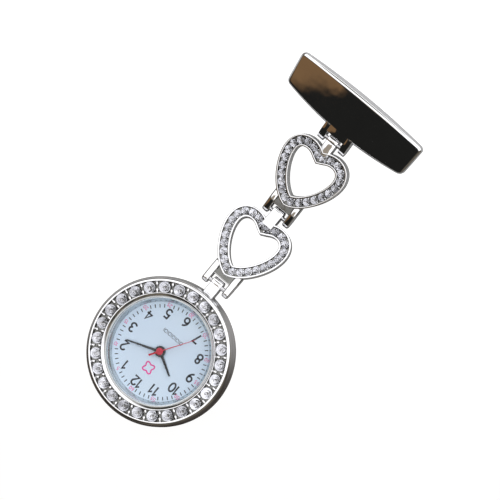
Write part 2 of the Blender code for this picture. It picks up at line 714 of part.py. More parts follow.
def bezier(a, b, c, d, count):
    """Points from a towards d along a cubic curve pulled by b and c, without the last one."""
    points = []
    for index in range(count):
        t = index / count
        u = 1 - t
        weights = u * u * u, 3 * u * u * t, 3 * u * t * t, t * t * t
        points.append(tuple(sum(w * p[k] for w, p in zip(weights, (a, b, c, d))) for k in (0, 1)))
    return points


def heart_half(count):
    """The right half of the outline, from the tip to the notch, with the tip at height 0."""
    wide = HEART_HALF_WIDTH
    top = HEART_HEIGHT
    tip = (0.0, 0.0)
    side = (wide, 0.7 * top)
    lobe = (0.43 * wide, top)
    notch = (0.0, top - 1.1)
    flank = bezier(tip, (0.48 * wide, 0.045 * top), (wide, 0.42 * top), side, count // 2)
    shoulder = bezier(side, (wide, 0.885 * top), (0.75 * wide, top), lobe, count // 3)
    dip = bezier(lobe, (0.22 * wide, top), (0.08 * wide, top - 0.7), notch, count - count // 2 - count // 3)
    return flank + shoulder + dip + [notch]


def even_points(points, count):
    """count + 1 points at even spacing along a line of points."""
    gaps = [sqrt((b[0] - a[0]) ** 2 + (b[1] - a[1]) ** 2) for a, b in zip(points, points[1:])]
    total = sum(gaps)
    spread = []
    for index in range(count + 1):
        left = total * index / count
        at = 0
        while at < len(gaps) - 1 and left > gaps[at]:
            left -= gaps[at]
            at += 1
        share = min(left / gaps[at], 1.0)
        spread.append(tuple(a + (b - a) * share for a, b in zip(points[at], points[at + 1])))
    return spread


def heart_outline(inset, halves=24):
    """The whole outline moved inwards by inset, as a closed loop that starts at the tip."""
    right = even_points(heart_half(120), halves)
    left = [(-x, y) for x, y in reversed(right[1:-1])]
    loop = right + left
    moved = []
    for before, here, after in zip(loop[-1:] + loop[:-1], loop, loop[1:] + loop[:1]):
        along = Vector(after) - Vector(before)
        inward = Vector((-along.y, along.x)).normalized()
        moved.append((here[0] + inward.x * inset, here[1] + inward.y * inset + HEART_TIP))
    return moved


def fork(name, parent, neck_y, neck_top, neck_bottom):
    """Two ears round the hinge at the frame's origin, as one bar with the gap cut out of it."""
    arc = [radians(angle) for angle in range(90, 271, 15)]
    end = [(KNUCKLE_RADIUS * cos(a), KNUCKLE_RADIUS * sin(a)) for a in arc]
    neck = [(neck_y, neck_bottom), (neck_y, neck_top)]
    half = FORK_WIDTH / 2
    return extruded(name, [end + neck], -half, half, CHROME, parent, along="X")


def fork_gap(name, parent, depth):
    """The space between the ears, down to the web that joins them."""
    half = FORK_GAP / 2
    return block(name, (-half, -2.0, -3.0), (half, depth, 3.0), CHROME, parent)


def make_heart(name, parent):
    """A heart link: an open band with a stone channel, a fork under its tip and a knuckle over its notch."""
    rims = [heart_outline(0.0), heart_outline(BAND_WIDTH)]
    low, high = -HEART_HALF_THICKNESS, HEART_HALF_THICKNESS
    frame = extruded(f"{name}_heart_frame", rims, low, high, CHROME, parent)
    ears = fork(f"{name}_fork", parent, 4.2, 0.75, -1.2)
    window = extruded(f"{name}_window", [heart_outline(BAND_WIDTH)], -3.0, 3.0, CHROME, parent)
    channel = [heart_outline(RIM_WIDTH), heart_outline(BAND_WIDTH - RIM_WIDTH)]
    groove = extruded(f"{name}_channel", channel, HEART_CHANNEL_FLOOR, 3.0, CHROME, parent)
    join(frame, ears)
    join(frame, knuckle(f"{name}_knuckle", LINK_PITCH, 0.0, HEART_TIP + HEART_HEIGHT - 1.6, parent))
    cut(
        frame,
        fork_gap(f"{name}_gap", parent, 1.42),
        window,
        groove,
        pin_hole(f"{name}_fork_hole", 0.0, 0.0, parent),
        pin_hole(f"{name}_knuckle_hole", LINK_PITCH, 0.0, parent),
    )
    stones = heart_outline(BAND_WIDTH - RIM_WIDTH - 0.08), heart_outline(RIM_WIDTH + 0.08)
    stone_row(f"{name}_heart_stones", *stones, HEART_CHANNEL_FLOOR + 0.06, 0.75, 1.15, parent)


def hinge_pin(name, parent):
    half = FORK_WIDTH / 2 - 0.1
    rod(name, HINGE_PIN_RADIUS, (-half, 0.0, 0.0), (half, 0.0, 0.0), STEEL, parent)


# ---------------------------------------------------------------- brooch


def brooch_outline():
    """A bow-shaped plate: both long edges bulge outwards, and the lower one is a little shorter."""
    steps = 12
    lower = []
    upper = []
    for index in range(steps + 1):
        share = 2 * index / steps - 1
        lower.append((share * PLATE_HALF_BOTTOM, PLATE_BOTTOM_EDGE + BOTTOM_BULGE * share**2))
        upper.append((-share * PLATE_HALF_TOP, PLATE_TOP_EDGE - TOP_BULGE * share**2))
    return lower + upper


def make_brooch_plate():
    """Cast plate with an arched front, a hollow back and the fork for the upper link."""
    plate = extruded("brooch_plate", [brooch_outline()], PLATE_BACK, 3.0, CHROME, BROOCH)
    steps = 12
    arch = []
    for index in range(steps + 1):
        x = (2 * index / steps - 1) * (PLATE_HALF_TOP + 1.0)
        arch.append((x, FACE_HEIGHT - FACE_ARCH * (x / PLATE_HALF_TOP) ** 2))
    arch += [(PLATE_HALF_TOP + 1.0, 6.0), (-PLATE_HALF_TOP - 1.0, 6.0)]
    over = extruded("face_arch", [arch], -20.0, 20.0, CHROME, BROOCH)
    over.data.transform(Matrix.Rotation(radians(90.0), 4, "X"))
    cut(plate, over)
    hollow = block("hollow_back", (-12.0, 4.2, -3.0), (12.0, 10.6, -0.35), CHROME, BROOCH)
    join(plate, fork("brooch_fork", BROOCH, 3.4, KNUCKLE_RADIUS, PLATE_BACK))
    cut(plate, hollow, fork_gap("brooch_gap", BROOCH, 1.5), pin_hole("brooch_hole", 0.0, 0.0, BROOCH))


def make_pin_finding():
    """Bar-pin finding on the back: base strip with two ears, rivet, pointed stem, catch and turning collar."""
    pin_y, pin_n = PIN_LINE
    strip_top = PLATE_BACK - 0.05
    strip_bottom = strip_top - 0.5
    base = block("pin_base", (-13.4, pin_y - 1.5, strip_bottom), (12.6, pin_y + 1.5, strip_top), STEEL, BROOCH)
    ear = circle(1.0, (PIN_HINGE_X, pin_n), 16)
    for index, near in enumerate((pin_y - 1.0, pin_y + 0.55)):
        far = near + 0.45
        lobe = extruded(f"hinge_ear_{index}", [ear], -far, -near, STEEL, BROOCH)
        lobe.data.transform(Matrix.Rotation(radians(90.0), 4, "X"))
        neck_low = (PIN_HINGE_X - 0.98, near + 0.01, pin_n)
        neck_high = (PIN_HINGE_X + 0.98, far - 0.01, strip_bottom + 0.1)
        join(base, lobe, block(f"hinge_neck_{index}", neck_low, neck_high, STEEL, BROOCH))
    hole_ends = (PIN_HINGE_X, pin_y - 3.0, pin_n), (PIN_HINGE_X, pin_y + 3.0, pin_n)
    cut(base, rod("rivet_hole", 0.36, *hole_ends, STEEL, BROOCH, steps=12))

    profile = [
        (0.0, 1.28),
        (0.5, 1.28),
        (0.5, 1.04),
        (0.3, 1.04),
        (0.3, -1.04),
        (0.5, -1.04),
        (0.5, -1.28),
        (0.0, -1.28),
    ]
    rivet = turned("pin_rivet", profile, STEEL, PIN_AXIS, steps=12)
    rivet.rotation_euler = (radians(90.0), 0.0, 0.0)

    eye = [circle(0.8, count=12), circle(0.36, count=12)]
    stem = extruded("pin_stem", eye, -0.45, 0.45, STEEL, PIN_AXIS)
    stem.data.transform(Matrix.Rotation(radians(90.0), 4, "X"))
    tip_x = CATCH_X - PIN_HINGE_X + 1.2
    wire_profile = [(0.0, tip_x + 1.6), (0.38, tip_x), (0.38, 0.55), (0.0, 0.55)]
    wire = turned("pin_wire", wire_profile, STEEL, PIN_AXIS, steps=10)
    wire.rotation_euler = (0.0, radians(90.0), 0.0)
    join(stem, wire)

    housing = extruded("catch_housing", [circle(1.45, count=20)], -0.7, 0.7, STEEL, CATCH_AXIS, along="X")
    foot_top = strip_bottom - 0.05 - pin_n
    join(housing, block("catch_foot", (-0.7, -1.2, 0.9), (0.7, 1.2, foot_top), STEEL, CATCH_AXIS))
    bore = rod("catch_bore", 1.02, (-2.0, 0.0, 0.0), (2.0, 0.0, 0.0), STEEL, CATCH_AXIS, steps=20)
    mouth = block("catch_mouth", (-2.0, -0.52, -3.0), (2.0, 0.52, 0.0), STEEL, CATCH_AXIS)
    cut(housing, bore, mouth)

    collar = extruded("catch_collar", [circle(0.95, count=20)], -0.95, 0.85, STEEL, CATCH_AXIS, along="X")
    join(collar, block("collar_tab", (0.8, 0.4, -0.25), (1.2, 1.9, 0.25), STEEL, CATCH_AXIS))
    join(collar, rod("collar_flange", 0.95, (0.8, 0.0, 0.0), (1.2, 0.0, 0.0), STEEL, CATCH_AXIS, steps=20))
    way = rod("collar_bore", 0.53, (-2.0, 0.0, 0.0), (2.0, 0.0, 0.0), STEEL, CATCH_AXIS, steps=12)
    slot = block("collar_slot", (-2.0, -0.48, -3.0), (2.0, 0.48, 0.0), STEEL, CATCH_AXIS)
    cut(collar, way, slot)


# ---------------------------------------------------------------- the whole watch


make_case()
make_case_back()
make_bezel()
make_crystal()
bezel_points = 2 * BEZEL_STONES
stone_row(
    "bezel_stones",
    circle(CHANNEL_INNER + 0.1, count=bezel_points),
    circle(CHANNEL_OUTER - 0.1, count=bezel_points),
    CHANNEL_FLOOR + 0.06,
    6.75,
    7.15,
)
make_dial()
make_hands()
make_plates()
make_train()
make_motion_work()
make_motor_and_power()
make_holder()
make_crown()
make_heart("lower", LOWER_LINK)
make_heart("upper", UPPER_LINK)
hinge_pin("lower_hinge_pin", LOWER_LINK)
hinge_pin("middle_hinge_pin", UPPER_LINK)
hinge_pin("upper_hinge_pin", BROOCH)
make_brooch_plate()
make_pin_finding()
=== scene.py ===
"""A nurse's fob watch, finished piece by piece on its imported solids.

Lengths are written in millimetres and become metres where a mesh is made. The watch lies face up at the
origin and the chain runs along +Y to the brooch.
"""

import json
from math import atan2, cos, pi, radians, sin

import bmesh
import bpy
import numpy as np
from mathutils import Matrix, Vector


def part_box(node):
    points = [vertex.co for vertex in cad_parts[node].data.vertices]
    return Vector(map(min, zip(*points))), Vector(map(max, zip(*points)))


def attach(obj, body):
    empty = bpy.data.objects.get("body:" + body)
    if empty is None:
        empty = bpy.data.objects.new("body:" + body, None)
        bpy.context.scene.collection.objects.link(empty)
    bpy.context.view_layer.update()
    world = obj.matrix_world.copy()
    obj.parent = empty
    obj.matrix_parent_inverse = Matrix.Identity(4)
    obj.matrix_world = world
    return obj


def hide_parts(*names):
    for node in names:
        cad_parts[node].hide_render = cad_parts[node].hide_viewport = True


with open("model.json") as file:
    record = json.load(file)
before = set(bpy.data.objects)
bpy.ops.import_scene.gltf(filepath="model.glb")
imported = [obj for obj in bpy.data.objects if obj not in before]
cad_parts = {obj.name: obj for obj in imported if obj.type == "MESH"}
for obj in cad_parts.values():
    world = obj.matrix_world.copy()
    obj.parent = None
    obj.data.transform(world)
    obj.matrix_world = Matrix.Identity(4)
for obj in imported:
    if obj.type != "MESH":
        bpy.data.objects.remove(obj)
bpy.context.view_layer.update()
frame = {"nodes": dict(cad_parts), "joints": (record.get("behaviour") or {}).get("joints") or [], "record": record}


# ---- Middle case ---------------------------------------------------------------------------------
# A ring turned from brass and chromium plated, polished all over. It holds the movement and carries the bezel
# on its upper edge, with a soldered lug block at the chain's end.

MM = 0.001
TURN_STEPS = 144


def grid_faces(rows, columns, wrap_rows=False):
    """Quads of a grid of points, rows by columns: its columns always close, and its rows close if asked."""
    row = np.arange(rows if wrap_rows else rows - 1)[:, None]
    column = np.arange(columns)[None, :]
    after = (column + 1) % columns
    below = (row + 1) % rows
    corners = row * columns + column, below * columns + column, below * columns + after, row * columns + after
    return np.stack(corners, -1).reshape(-1, 4).tolist()


def shell(grid, wrap_rows=False):
    """Points and faces of a grid of rows; unless its rows wrap, a flat face closes each end row."""
    rows, columns = grid.shape[:2]
    faces = grid_faces(rows, columns, wrap_rows)
    if not wrap_rows:
        faces.append(list(range(columns)))
        faces.append(list(range((rows - 1) * columns, rows * columns)))
    return grid.reshape(-1, 3), faces


def gathered(*shells):
    """Several sets of points and faces as one."""
    points, faces, count = [], [], 0
    for some_points, some_faces in shells:
        points.append(np.asarray(some_points, float))
        faces.extend([[corner + count for corner in face] for face in some_faces])
        count += len(some_points)
    return np.concatenate(points), faces


def eased(corners, radius, closed=True, steps=4):
    """A polygon with curved corners: each is the parabola that starts and ends radius from the corner."""
    corner = np.array(corners, float)
    radius = np.broadcast_to(np.asarray(radius, float), len(corner)).copy()
    if not closed:
        radius[[0, -1]] = 0.0
    back = np.roll(corner, 1, 0) - corner
    ahead = np.roll(corner, -1, 0) - corner
    back_length = np.linalg.norm(back, axis=1)
    ahead_length = np.linalg.norm(ahead, axis=1)
    reach = np.minimum(radius, 0.48 * np.minimum(back_length, ahead_length))[:, None]
    start = (corner + back / back_length[:, None] * reach)[:, None]
    end = (corner + ahead / ahead_length[:, None] * reach)[:, None]
    t = np.linspace(0, 1, steps + 1)[None, :, None]
    curve = ((1 - t) ** 2 * start + 2 * t * (1 - t) * corner[:, None] + t**2 * end).reshape(-1, 2)
    gap = np.linalg.norm(curve - np.roll(curve, 1, 0), axis=1)
    gap[0] = 1.0
    return curve[gap > 1e-5]


def turned(profile, closed=True, steps=TURN_STEPS):
    """A profile of (radius, height) swept once round Z: x = r cos a, y = r sin a, z = height."""
    angle = np.linspace(0, 2 * pi, steps, endpoint=False)
    radius, height = np.asarray(profile, float).T
    x = radius[:, None] * np.cos(angle)
    y = radius[:, None] * np.sin(angle)
    z = np.broadcast_to(height[:, None], x.shape)
    grid = np.stack([x, y, z], -1)
    if closed:
        return shell(grid, wrap_rows=True)
    return grid.reshape(-1, 3), grid_faces(len(grid), steps)


def moved_in(outline, distance):
    """A counter-clockwise outline moved inwards, each point along the normal to its neighbours' line."""
    outline = np.asarray(outline, float)
    along = np.roll(outline, -1, 0) - np.roll(outline, 1, 0)
    normal = np.stack([-along[:, 1], along[:, 0]], 1)
    return outline + distance * normal / np.linalg.norm(normal, axis=1)[:, None]


def slab(outline, low, high, ease=0.15, steps=3, across="Z"):
    """A flat outline given thickness: a loop ease (1 - sin t) from a face moves in by ease (1 - cos t).

    Across Z the outline is (x, y); across X it is (y, z).
    """
    t = np.linspace(0, pi / 2, steps + 1)
    inset = ease * (1 - np.cos(t))
    rise = ease * (1 - np.sin(t))
    levels = [(i, low + r) for i, r in zip(inset[::-1], rise[::-1])]
    levels += [(i, high - r) for i, r in zip(inset, rise)]
    rows = []
    for distance, height in levels:
        flat = moved_in(outline, distance)
        level = np.full((len(flat), 1), height)
        rows.append(np.hstack([flat, level] if across == "Z" else [level, flat]))
    return shell(np.array(rows))


def carried_by(at, tilt):
    """Places local points: a turn by tilt about X, then a move to the point at."""
    matrix = np.array([[1, 0, 0], [0, cos(tilt), -sin(tilt)], [0, sin(tilt), cos(tilt)]])
    return lambda points: np.asarray(points, float) @ matrix.T + np.asarray(at, float)


def made(name, points_and_faces, finish, body, stands_for=(), place=None, crease=35):
    """A closed mesh with its doubles merged and its faces outwards, riding on a body in its finish."""
    points, faces = points_and_faces
    if place:
        points = place(points)
    mesh = bpy.data.meshes.new(name)
    mesh.from_pydata((np.asarray(points) * MM).tolist(), [], faces)
    shape = bmesh.new()
    shape.from_mesh(mesh)
    bmesh.ops.remove_doubles(shape, verts=shape.verts, dist=2e-7)
    bmesh.ops.recalc_face_normals(shape, faces=shape.faces)
    shape.to_mesh(mesh)
    shape.free()
    mesh.shade_smooth()
    mesh.set_sharp_from_angle(angle=radians(crease))
    piece = bpy.data.objects.new(name, mesh)
    bpy.context.scene.collection.objects.link(piece)
    mesh.materials.append(finish)
    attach(piece, body)
    if stands_for:
        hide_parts(*stands_for)
    return piece


class Finish:
    """Builds one procedural material on the piece's own coordinates."""

    def __init__(self, name):
        self.material = bpy.data.materials.new(name)
        self.material.use_nodes = True
        self.tree = self.material.node_tree
        self.shader = self.tree.nodes["Principled BSDF"]

    def node(self, kind, **inputs):
        """A new node, whose inputs are linked to a socket or set to a value; _ stands for a space."""
        made_node = self.tree.nodes.new(kind)
        for socket, value in inputs.items():
            target = made_node.inputs[socket.replace("_", " ")]
            if isinstance(value, bpy.types.NodeSocket):
                self.tree.links.new(value, target)
            else:
                target.default_value = value
        return made_node

    def space(self, stretch=(1.0, 1.0, 1.0)):
        """The piece's own coordinates, stretched."""
        own = self.node("ShaderNodeTexCoord").outputs["Object"]
        return self.node("ShaderNodeMapping", Vector=own, Scale=stretch).outputs["Vector"]

    def noise(self, scale, detail=4.0, stretch=(1.0, 1.0, 1.0)):
        """Cloudy values about 0.5, with this many waves to the metre."""
        texture = self.node("ShaderNodeTexNoise", Vector=self.space(stretch), Scale=scale, Detail=detail)
        return texture.outputs["Fac"]

    def between(self, value, low, high, start=0.3, stop=0.7):
        """The value's range from start to stop stretched over low to high."""
        span = self.node("ShaderNodeMapRange", Value=value, To_Min=low, To_Max=high)
        span.inputs["From Min"].default_value = start
        span.inputs["From Max"].default_value = stop
        return span.outputs["Result"]

    def shades(self, value, *colours):
        """Colours spread evenly over the value's middle range."""
        ramp = self.node("ShaderNodeValToRGB", Fac=value)
        bar = ramp.color_ramp.elements
        places = np.linspace(0.3, 0.7, len(colours))
        while len(bar) < len(colours):
            bar.new(0.5)
        for element, place, colour in zip(bar, places, colours):
            element.position = place
            element.color = (*colour, 1.0)
        return ramp.outputs["Color"]

    def feed(self, socket, value):
        """Links or sets one of the shader's inputs."""
        if isinstance(value, bpy.types.NodeSocket):
            self.tree.links.new(value, self.shader.inputs[socket])
        else:
            self.shader.inputs[socket].default_value = value
        return self

    def relief(self, height, distance, strength=1.0):
        """Raises and lowers the surface's shading by a height, in metres at full strength."""
        bump = self.node("ShaderNodeBump", Height=height, Strength=strength, Distance=distance)
        self.tree.links.new(bump.outputs["Normal"], self.shader.inputs["Normal"])
        return self


def plated(name, light, dark, smooth, rough, wave_scale, wave):
    """A plated metal: broad waves in the casting, a fine haze in the gloss, and a faint change of tone."""
    coat = Finish(name)
    coat.feed("Metallic", 1.0)
    coat.feed("Base Color", coat.shades(coat.noise(260.0), dark, light))
    coat.feed("Roughness", coat.between(coat.noise(1500.0), smooth, rough))
    return coat.relief(coat.noise(wave_scale, 2.0), wave).material


polished_chrome = plated(
    "polished_chrome", (0.86, 0.86, 0.87), (0.8, 0.8, 0.815), 0.03, 0.075, 170.0, 0.00004
)

CASE_PROFILE = eased(
    [
        (13.05, 4.9),
        (15.7, 4.9),
        (16.0, 4.45),
        (16.0, 3.4),
        (15.78, 2.1),
        (15.2, 1.0),
        (14.5, 0.25),
        (14.15, 0.1),
        (14.06, 0.1),
        (14.06, 0.76),
        (13.05, 0.78),
    ],
    [0.05, 0.12, 0.25, 0.5, 0.6, 0.5, 0.2, 0.02, 0.02, 0.02, 0.02],
)

joint_point = {joint["name"]: np.array(joint.get("pos_m", (0, 0, 0))) / MM for joint in frame["joints"]}
lug_hinge = joint_point["lower_hinge"]
KNUCKLE_RADIUS = 1.3
KNUCKLE_HALF_WIDTH = 1.3
LUG_ROOT = 15.2


def knuckle(hinge_y, hinge_z, root_y, half_width=KNUCKLE_HALF_WIDTH, top=1.22, bottom=-1.25):
    """A block with a round end about the hinge: a half circle joined to a bar, given its width along X."""
    turn = np.radians(np.linspace(-78, 78, 15))
    end = np.stack([KNUCKLE_RADIUS * np.cos(turn), KNUCKLE_RADIUS * np.sin(turn)], 1)
    bar = np.array([(-0.2, top), (root_y - hinge_y, top), (root_y - hinge_y, bottom), (-0.2, bottom)])
    outline = np.vstack([end, eased(bar, 0.05)]) + (hinge_y, hinge_z)
    return slab(outline, -half_width, half_width, 0.16, across="X")


made(
    "middle_case",
    gathered(turned(CASE_PROFILE), knuckle(*lug_hinge[1:], LUG_ROOT)),
    polished_chrome,
    "watch",
    ["case_body"],
)


# ---- Case back -----------------------------------------------------------------------------------
# A stamped stainless lid pressed into the case over a rubber ring. Its face is brushed in circles, with two
# turned grooves and a thumb notch for opening it.

BACK_RADIUS = 14.0
NOTCH_HALF_ANGLE = 5.0
NOTCH_REACH, NOTCH_TOP = 13.45, 0.3


def turned_steel(name):
    """Stainless steel with fine circular brushing: noise read from the distance to the axis."""
    steel = Finish(name)
    own = steel.node("ShaderNodeTexCoord").outputs["Object"]
    split = steel.node("ShaderNodeSeparateXYZ", Vector=own).outputs
    flat = steel.node("ShaderNodeCombineXYZ", X=split["X"], Y=split["Y"]).outputs["Vector"]
    distance = steel.node("ShaderNodeVectorMath")
    distance.operation = "LENGTH"
    steel.tree.links.new(flat, distance.inputs[0])
    rings = steel.node("ShaderNodeTexNoise", Scale=9000.0, Detail=2.0)
    rings.noise_dimensions = "1D"
    steel.tree.links.new(distance.outputs["Value"], rings.inputs["W"])
    steel.feed("Metallic", 1.0)
    steel.feed("Base Color", steel.shades(rings.outputs["Fac"], (0.5, 0.5, 0.51), (0.68, 0.68, 0.69)))
    steel.feed("Roughness", steel.between(steel.noise(500.0), 0.2, 0.3))
    return steel.relief(rings.outputs["Fac"], 0.000006).material


back_profile = eased(
    [(0.0, 0.7), (BACK_RADIUS, 0.7), (BACK_RADIUS, 0.28), (13.72, 0.0), (12.2, 0.0), (12.0, 0.08)]
    + [(11.8, 0.0), (6.2, 0.0), (6.05, 0.06), (5.9, 0.0), (0.0, 0.0)],
    0.06,
    closed=False,
)
back_points, back_faces = turned(back_profile, closed=False)
from_notch = np.degrees(np.arctan2(back_points[:, 0], -back_points[:, 1]))
back_reach = np.linalg.norm(back_points[:, :2], axis=1)
in_notch = (np.abs(from_notch) < NOTCH_HALF_ANGLE) & (back_points[:, 2] < NOTCH_TOP)
shrink = np.where(in_notch & (back_reach > NOTCH_REACH), NOTCH_REACH / np.maximum(back_reach, 1e-6), 1.0)
back_points[:, :2] *= shrink[:, None]
made(
    "brushed_case_back",
    (back_points, back_faces),
    turned_steel("circle_brushed_steel"),
    "watch",
    ["case_back"],
)


# ---- Bezel ---------------------------------------------------------------------------------------
# A cast and chromium-plated ring pressed on the case. A channel for the stones runs between a raised outer
# rim and a narrower inner rim, which slopes down to the crystal.

CHANNEL_INNER, CHANNEL_OUTER, CHANNEL_FLOOR = 12.5, 14.77, 6.1
RIM_FOOT = 7.0

bezel_profile = eased(
    [
        (14.87, 7.28),
        (15.25, 7.28),
        (15.72, 6.85),
        (15.95, 6.1),
        (15.95, 5.35),
        (15.72, 4.98),
        (13.0, 4.98),
        (11.75, 5.2),
        (11.75, 6.95),
        (12.26, 7.38),
        (12.42, 7.38),
        (CHANNEL_INNER, RIM_FOOT),
        (CHANNEL_INNER, CHANNEL_FLOOR),
        (CHANNEL_OUTER, CHANNEL_FLOOR),
        (CHANNEL_OUTER, RIM_FOOT),
    ],
    [0.1, 0.2, 0.3, 0.3, 0.3, 0.15, 0.05, 0.05, 0.06, 0.12, 0.1, 0.1, 0.05, 0.05, 0.1],
)
# Painted shade: this recess finish is rougher than the polished chrome and much darker, the darkness standing in
# for shade in the stone channels.
dull_and_shaded_recess = plated("dull_and_shaded_recess", (0.27, 0.27, 0.26), (0.15, 0.15, 0.14), 0.2, 0.4, 600.0, 0.00002)


def dull_where(piece, inside):
    """Gives the faces at whose middles inside(x, y, z) holds the recess finish: rougher than the polish, and
    darker as painted shade.
    """
    piece.data.materials.append(dull_and_shaded_recess)
    middles = np.empty(3 * len(piece.data.polygons))
    piece.data.polygons.foreach_get("center", middles)
    chosen = inside(*(middles.reshape(-1, 3) / MM).T)
    index = np.empty(len(chosen), np.int32)
    piece.data.polygons.foreach_get("material_index", index)
    index[chosen] = len(piece.data.materials) - 1
    piece.data.polygons.foreach_set("material_index", index)


def in_channel(x, y, z):
    """Whether a place is on the channel's floor or walls, below the polished edges of its rims."""
    distance = np.hypot(x, y)
    between_walls = (distance > CHANNEL_INNER - 0.05) & (distance < CHANNEL_OUTER + 0.03)
    return between_walls & (z > CHANNEL_FLOOR - 0.1) & (z < RIM_FOOT - 0.05)


ring = made("plated_bezel", turned(bezel_profile), polished_chrome, "watch", ["bezel"])
# Painted shade: the channel's floor and walls get the darker recess finish.
dull_where(ring, in_channel)


# ---- Stones of the bezel -------------------------------------------------------------------------
# Facet-cut glass stones, silver foil on their backs, each held by pairs of prong beads raised from the rims.
# The upper facets are clear glass and the pavilion facets are mirror foil.

BEZEL_STONES = 26
BEZEL_STONE_RADIUS = 1.22
BEZEL_STONE_CIRCLE = 13.63
GIRDLE_HEIGHT = 6.88
PAVILION_FACETS = 16


def round_row(count, radius, height, shift=0.0):
    """Even points (r cos a, r sin a, height) round Z, the first one shift steps on from the X axis."""
    angle = 2 * pi * (np.arange(count) + shift) / count
    return np.stack([radius * np.cos(angle), radius * np.sin(angle), np.full(count, height)], 1)


def cut_stone(radius):
    """A brilliant cut: rings of 8 table corners, 8 star points and 16 girdle points over a pointed pavilion.

    The last PAVILION_FACETS faces are the pavilion's.
    """
    points = np.vstack(
        [
            round_row(8, 0.54, 0.3),
            round_row(8, 0.78, 0.18, 0.5),
            round_row(PAVILION_FACETS, 1.0, 0.03),
            round_row(PAVILION_FACETS, 1.0, -0.03),
            [(0.0, 0.0, -0.47)],
        ]
    )
    table, star, girdle, under, tip = 0, 8, 16, 32, 48
    faces = [[table + k for k in range(8)]]
    for k in range(8):
        after = (k + 1) % 8
        before = (k - 1) % 8
        here, left, right = girdle + 2 * k, girdle + (2 * k - 1) % 16, girdle + (2 * k + 1) % 16
        faces.append([table + k, star + k, table + after])
        faces.append([table + k, star + before, here, star + k])
        faces.append([star + k, here, right])
        faces.append([star + before, left, here])
    for k in range(PAVILION_FACETS):
        after = (k + 1) % PAVILION_FACETS
        faces.append([girdle + k, under + k, under + after, girdle + after])
    for k in range(PAVILION_FACETS):
        faces.append([under + k, tip, under + (k + 1) % PAVILION_FACETS])
    return points * radius, faces


def repeated(points_and_faces, centres, spins, tilts):
    """Copies of a shape, each spun about its own axis, leant by two small angles and moved to its centre."""
    points, faces = points_and_faces
    c, s = np.cos(spins), np.sin(spins)
    x = points[:, 0] * c[:, None] - points[:, 1] * s[:, None]
    y = points[:, 0] * s[:, None] + points[:, 1] * c[:, None]
    z = points[:, 2] + x * tilts[:, :1] + y * tilts[:, 1:]
    copies = np.stack([x, y, z], -1) + np.asarray(centres)[:, None]
    count = len(points)
    many = [[corner + k * count for corner in face] for k in range(len(centres)) for face in faces]
    return copies.reshape(-1, 3), many


def clear_glass(name, tint=(0.97, 0.98, 1.0)):
    """Clear lead glass with a faint cloud in its gloss."""
    glass = Finish(name)
    glass.feed("Transmission Weight", 1.0)
    glass.feed("IOR", 1.56)
    pale = tuple(0.97 * part for part in tint)
    glass.feed("Base Color", glass.shades(glass.noise(900.0), pale, tint))
    glass.feed("Roughness", glass.between(glass.noise(2500.0), 0.0, 0.02))
    return glass.material


def foil(name):
    """Silver foil: bright, with the small creases of a pressed backing."""
    silver = Finish(name)
    silver.feed("Metallic", 1.0)
    silver.feed("Base Color", silver.shades(silver.noise(650.0, 1.0), (0.5, 0.5, 0.52), (0.96, 0.96, 0.98)))
    silver.feed("Roughness", silver.between(silver.noise(4000.0), 0.03, 0.12))
    return silver.relief(silver.noise(2400.0, 2.0), 0.00001).material


stone_glass = clear_glass("stone_glass")
stone_foil = foil("stone_foil")
chance = np.random.default_rng(26)


def set_stones(name, radius, centres, body, stands_for, place=None):
    """A row of cut stones, each turned a little differently in its seat, foil on the pavilions."""
    count = len(centres)
    spins = chance.uniform(0, 2 * pi, count)
    tilts = chance.normal(0, 0.035, (count, 2))
    stone = cut_stone(radius)
    stones = repeated(stone, centres, spins, tilts)
    row = made(name, stones, stone_glass, body, stands_for, place, crease=3)
    row.data.materials.append(stone_foil)
    faces_each = len(stone[1])
    foiled = np.arange(count * faces_each) % faces_each >= faces_each - PAVILION_FACETS
    row.data.polygons.foreach_set("material_index", foiled.astype(np.int32))


set_stones(
    "bezel_cut_stones",
    BEZEL_STONE_RADIUS,
    round_row(BEZEL_STONES, BEZEL_STONE_CIRCLE, GIRDLE_HEIGHT),
    "watch",
    ["bezel_stones"],
)


def bead(radius, height, sides=10, rings=4):
    """A prong bead: half an ellipsoid on a short stem, half as long again along X as across it."""
    t = np.linspace(0, 0.46 * pi, rings)
    reach = np.concatenate([[radius * 0.95], radius * np.cos(t)])
    rise = np.concatenate([[-0.9], height * np.sin(t)])
    angle = np.linspace(0, 2 * pi, sides, endpoint=False)
    x = 1.5 * reach[:, None] * np.cos(angle)
    y = reach[:, None] * np.sin(angle)
    return shell(np.stack([x, y, np.broadcast_to(rise[:, None], x.shape)], -1))


def prong_beads(name, radius, centres, directions, body, place=None):
    """Beads at the centres, each lying along its direction, an angle round Z."""
    level = np.zeros((len(centres), 2))
    shape = repeated(bead(radius, radius * 0.8), centres, directions, level)
    made(name, shape, polished_chrome, body, (), place, crease=60)


BEZEL_PRONG_CIRCLES = 14.35, 12.94
BEZEL_PRONG_RADIUS, BEZEL_PRONG_HEIGHT = 0.36, 6.95
prong_circles = [round_row(BEZEL_STONES, radius, BEZEL_PRONG_HEIGHT, 0.5) for radius in BEZEL_PRONG_CIRCLES]
prong_angle = 2 * pi * (np.arange(BEZEL_STONES) + 0.5) / BEZEL_STONES
prong_beads("bezel_prongs", BEZEL_PRONG_RADIUS, np.vstack(prong_circles), np.tile(prong_angle, 2), "watch")


# ---- Crystal, its gasket and the rehaut ----------------------------------------------------------
# A flat mineral glass pressed into a nylon gasket. Under it a silvered ring slopes down to the dial and shows
# the minute marks a second time in its polish.

crystal_profile = eased([(0.0, 7.0), (11.45, 7.0), (11.45, 6.05), (0.0, 6.05)], 0.14, closed=False)


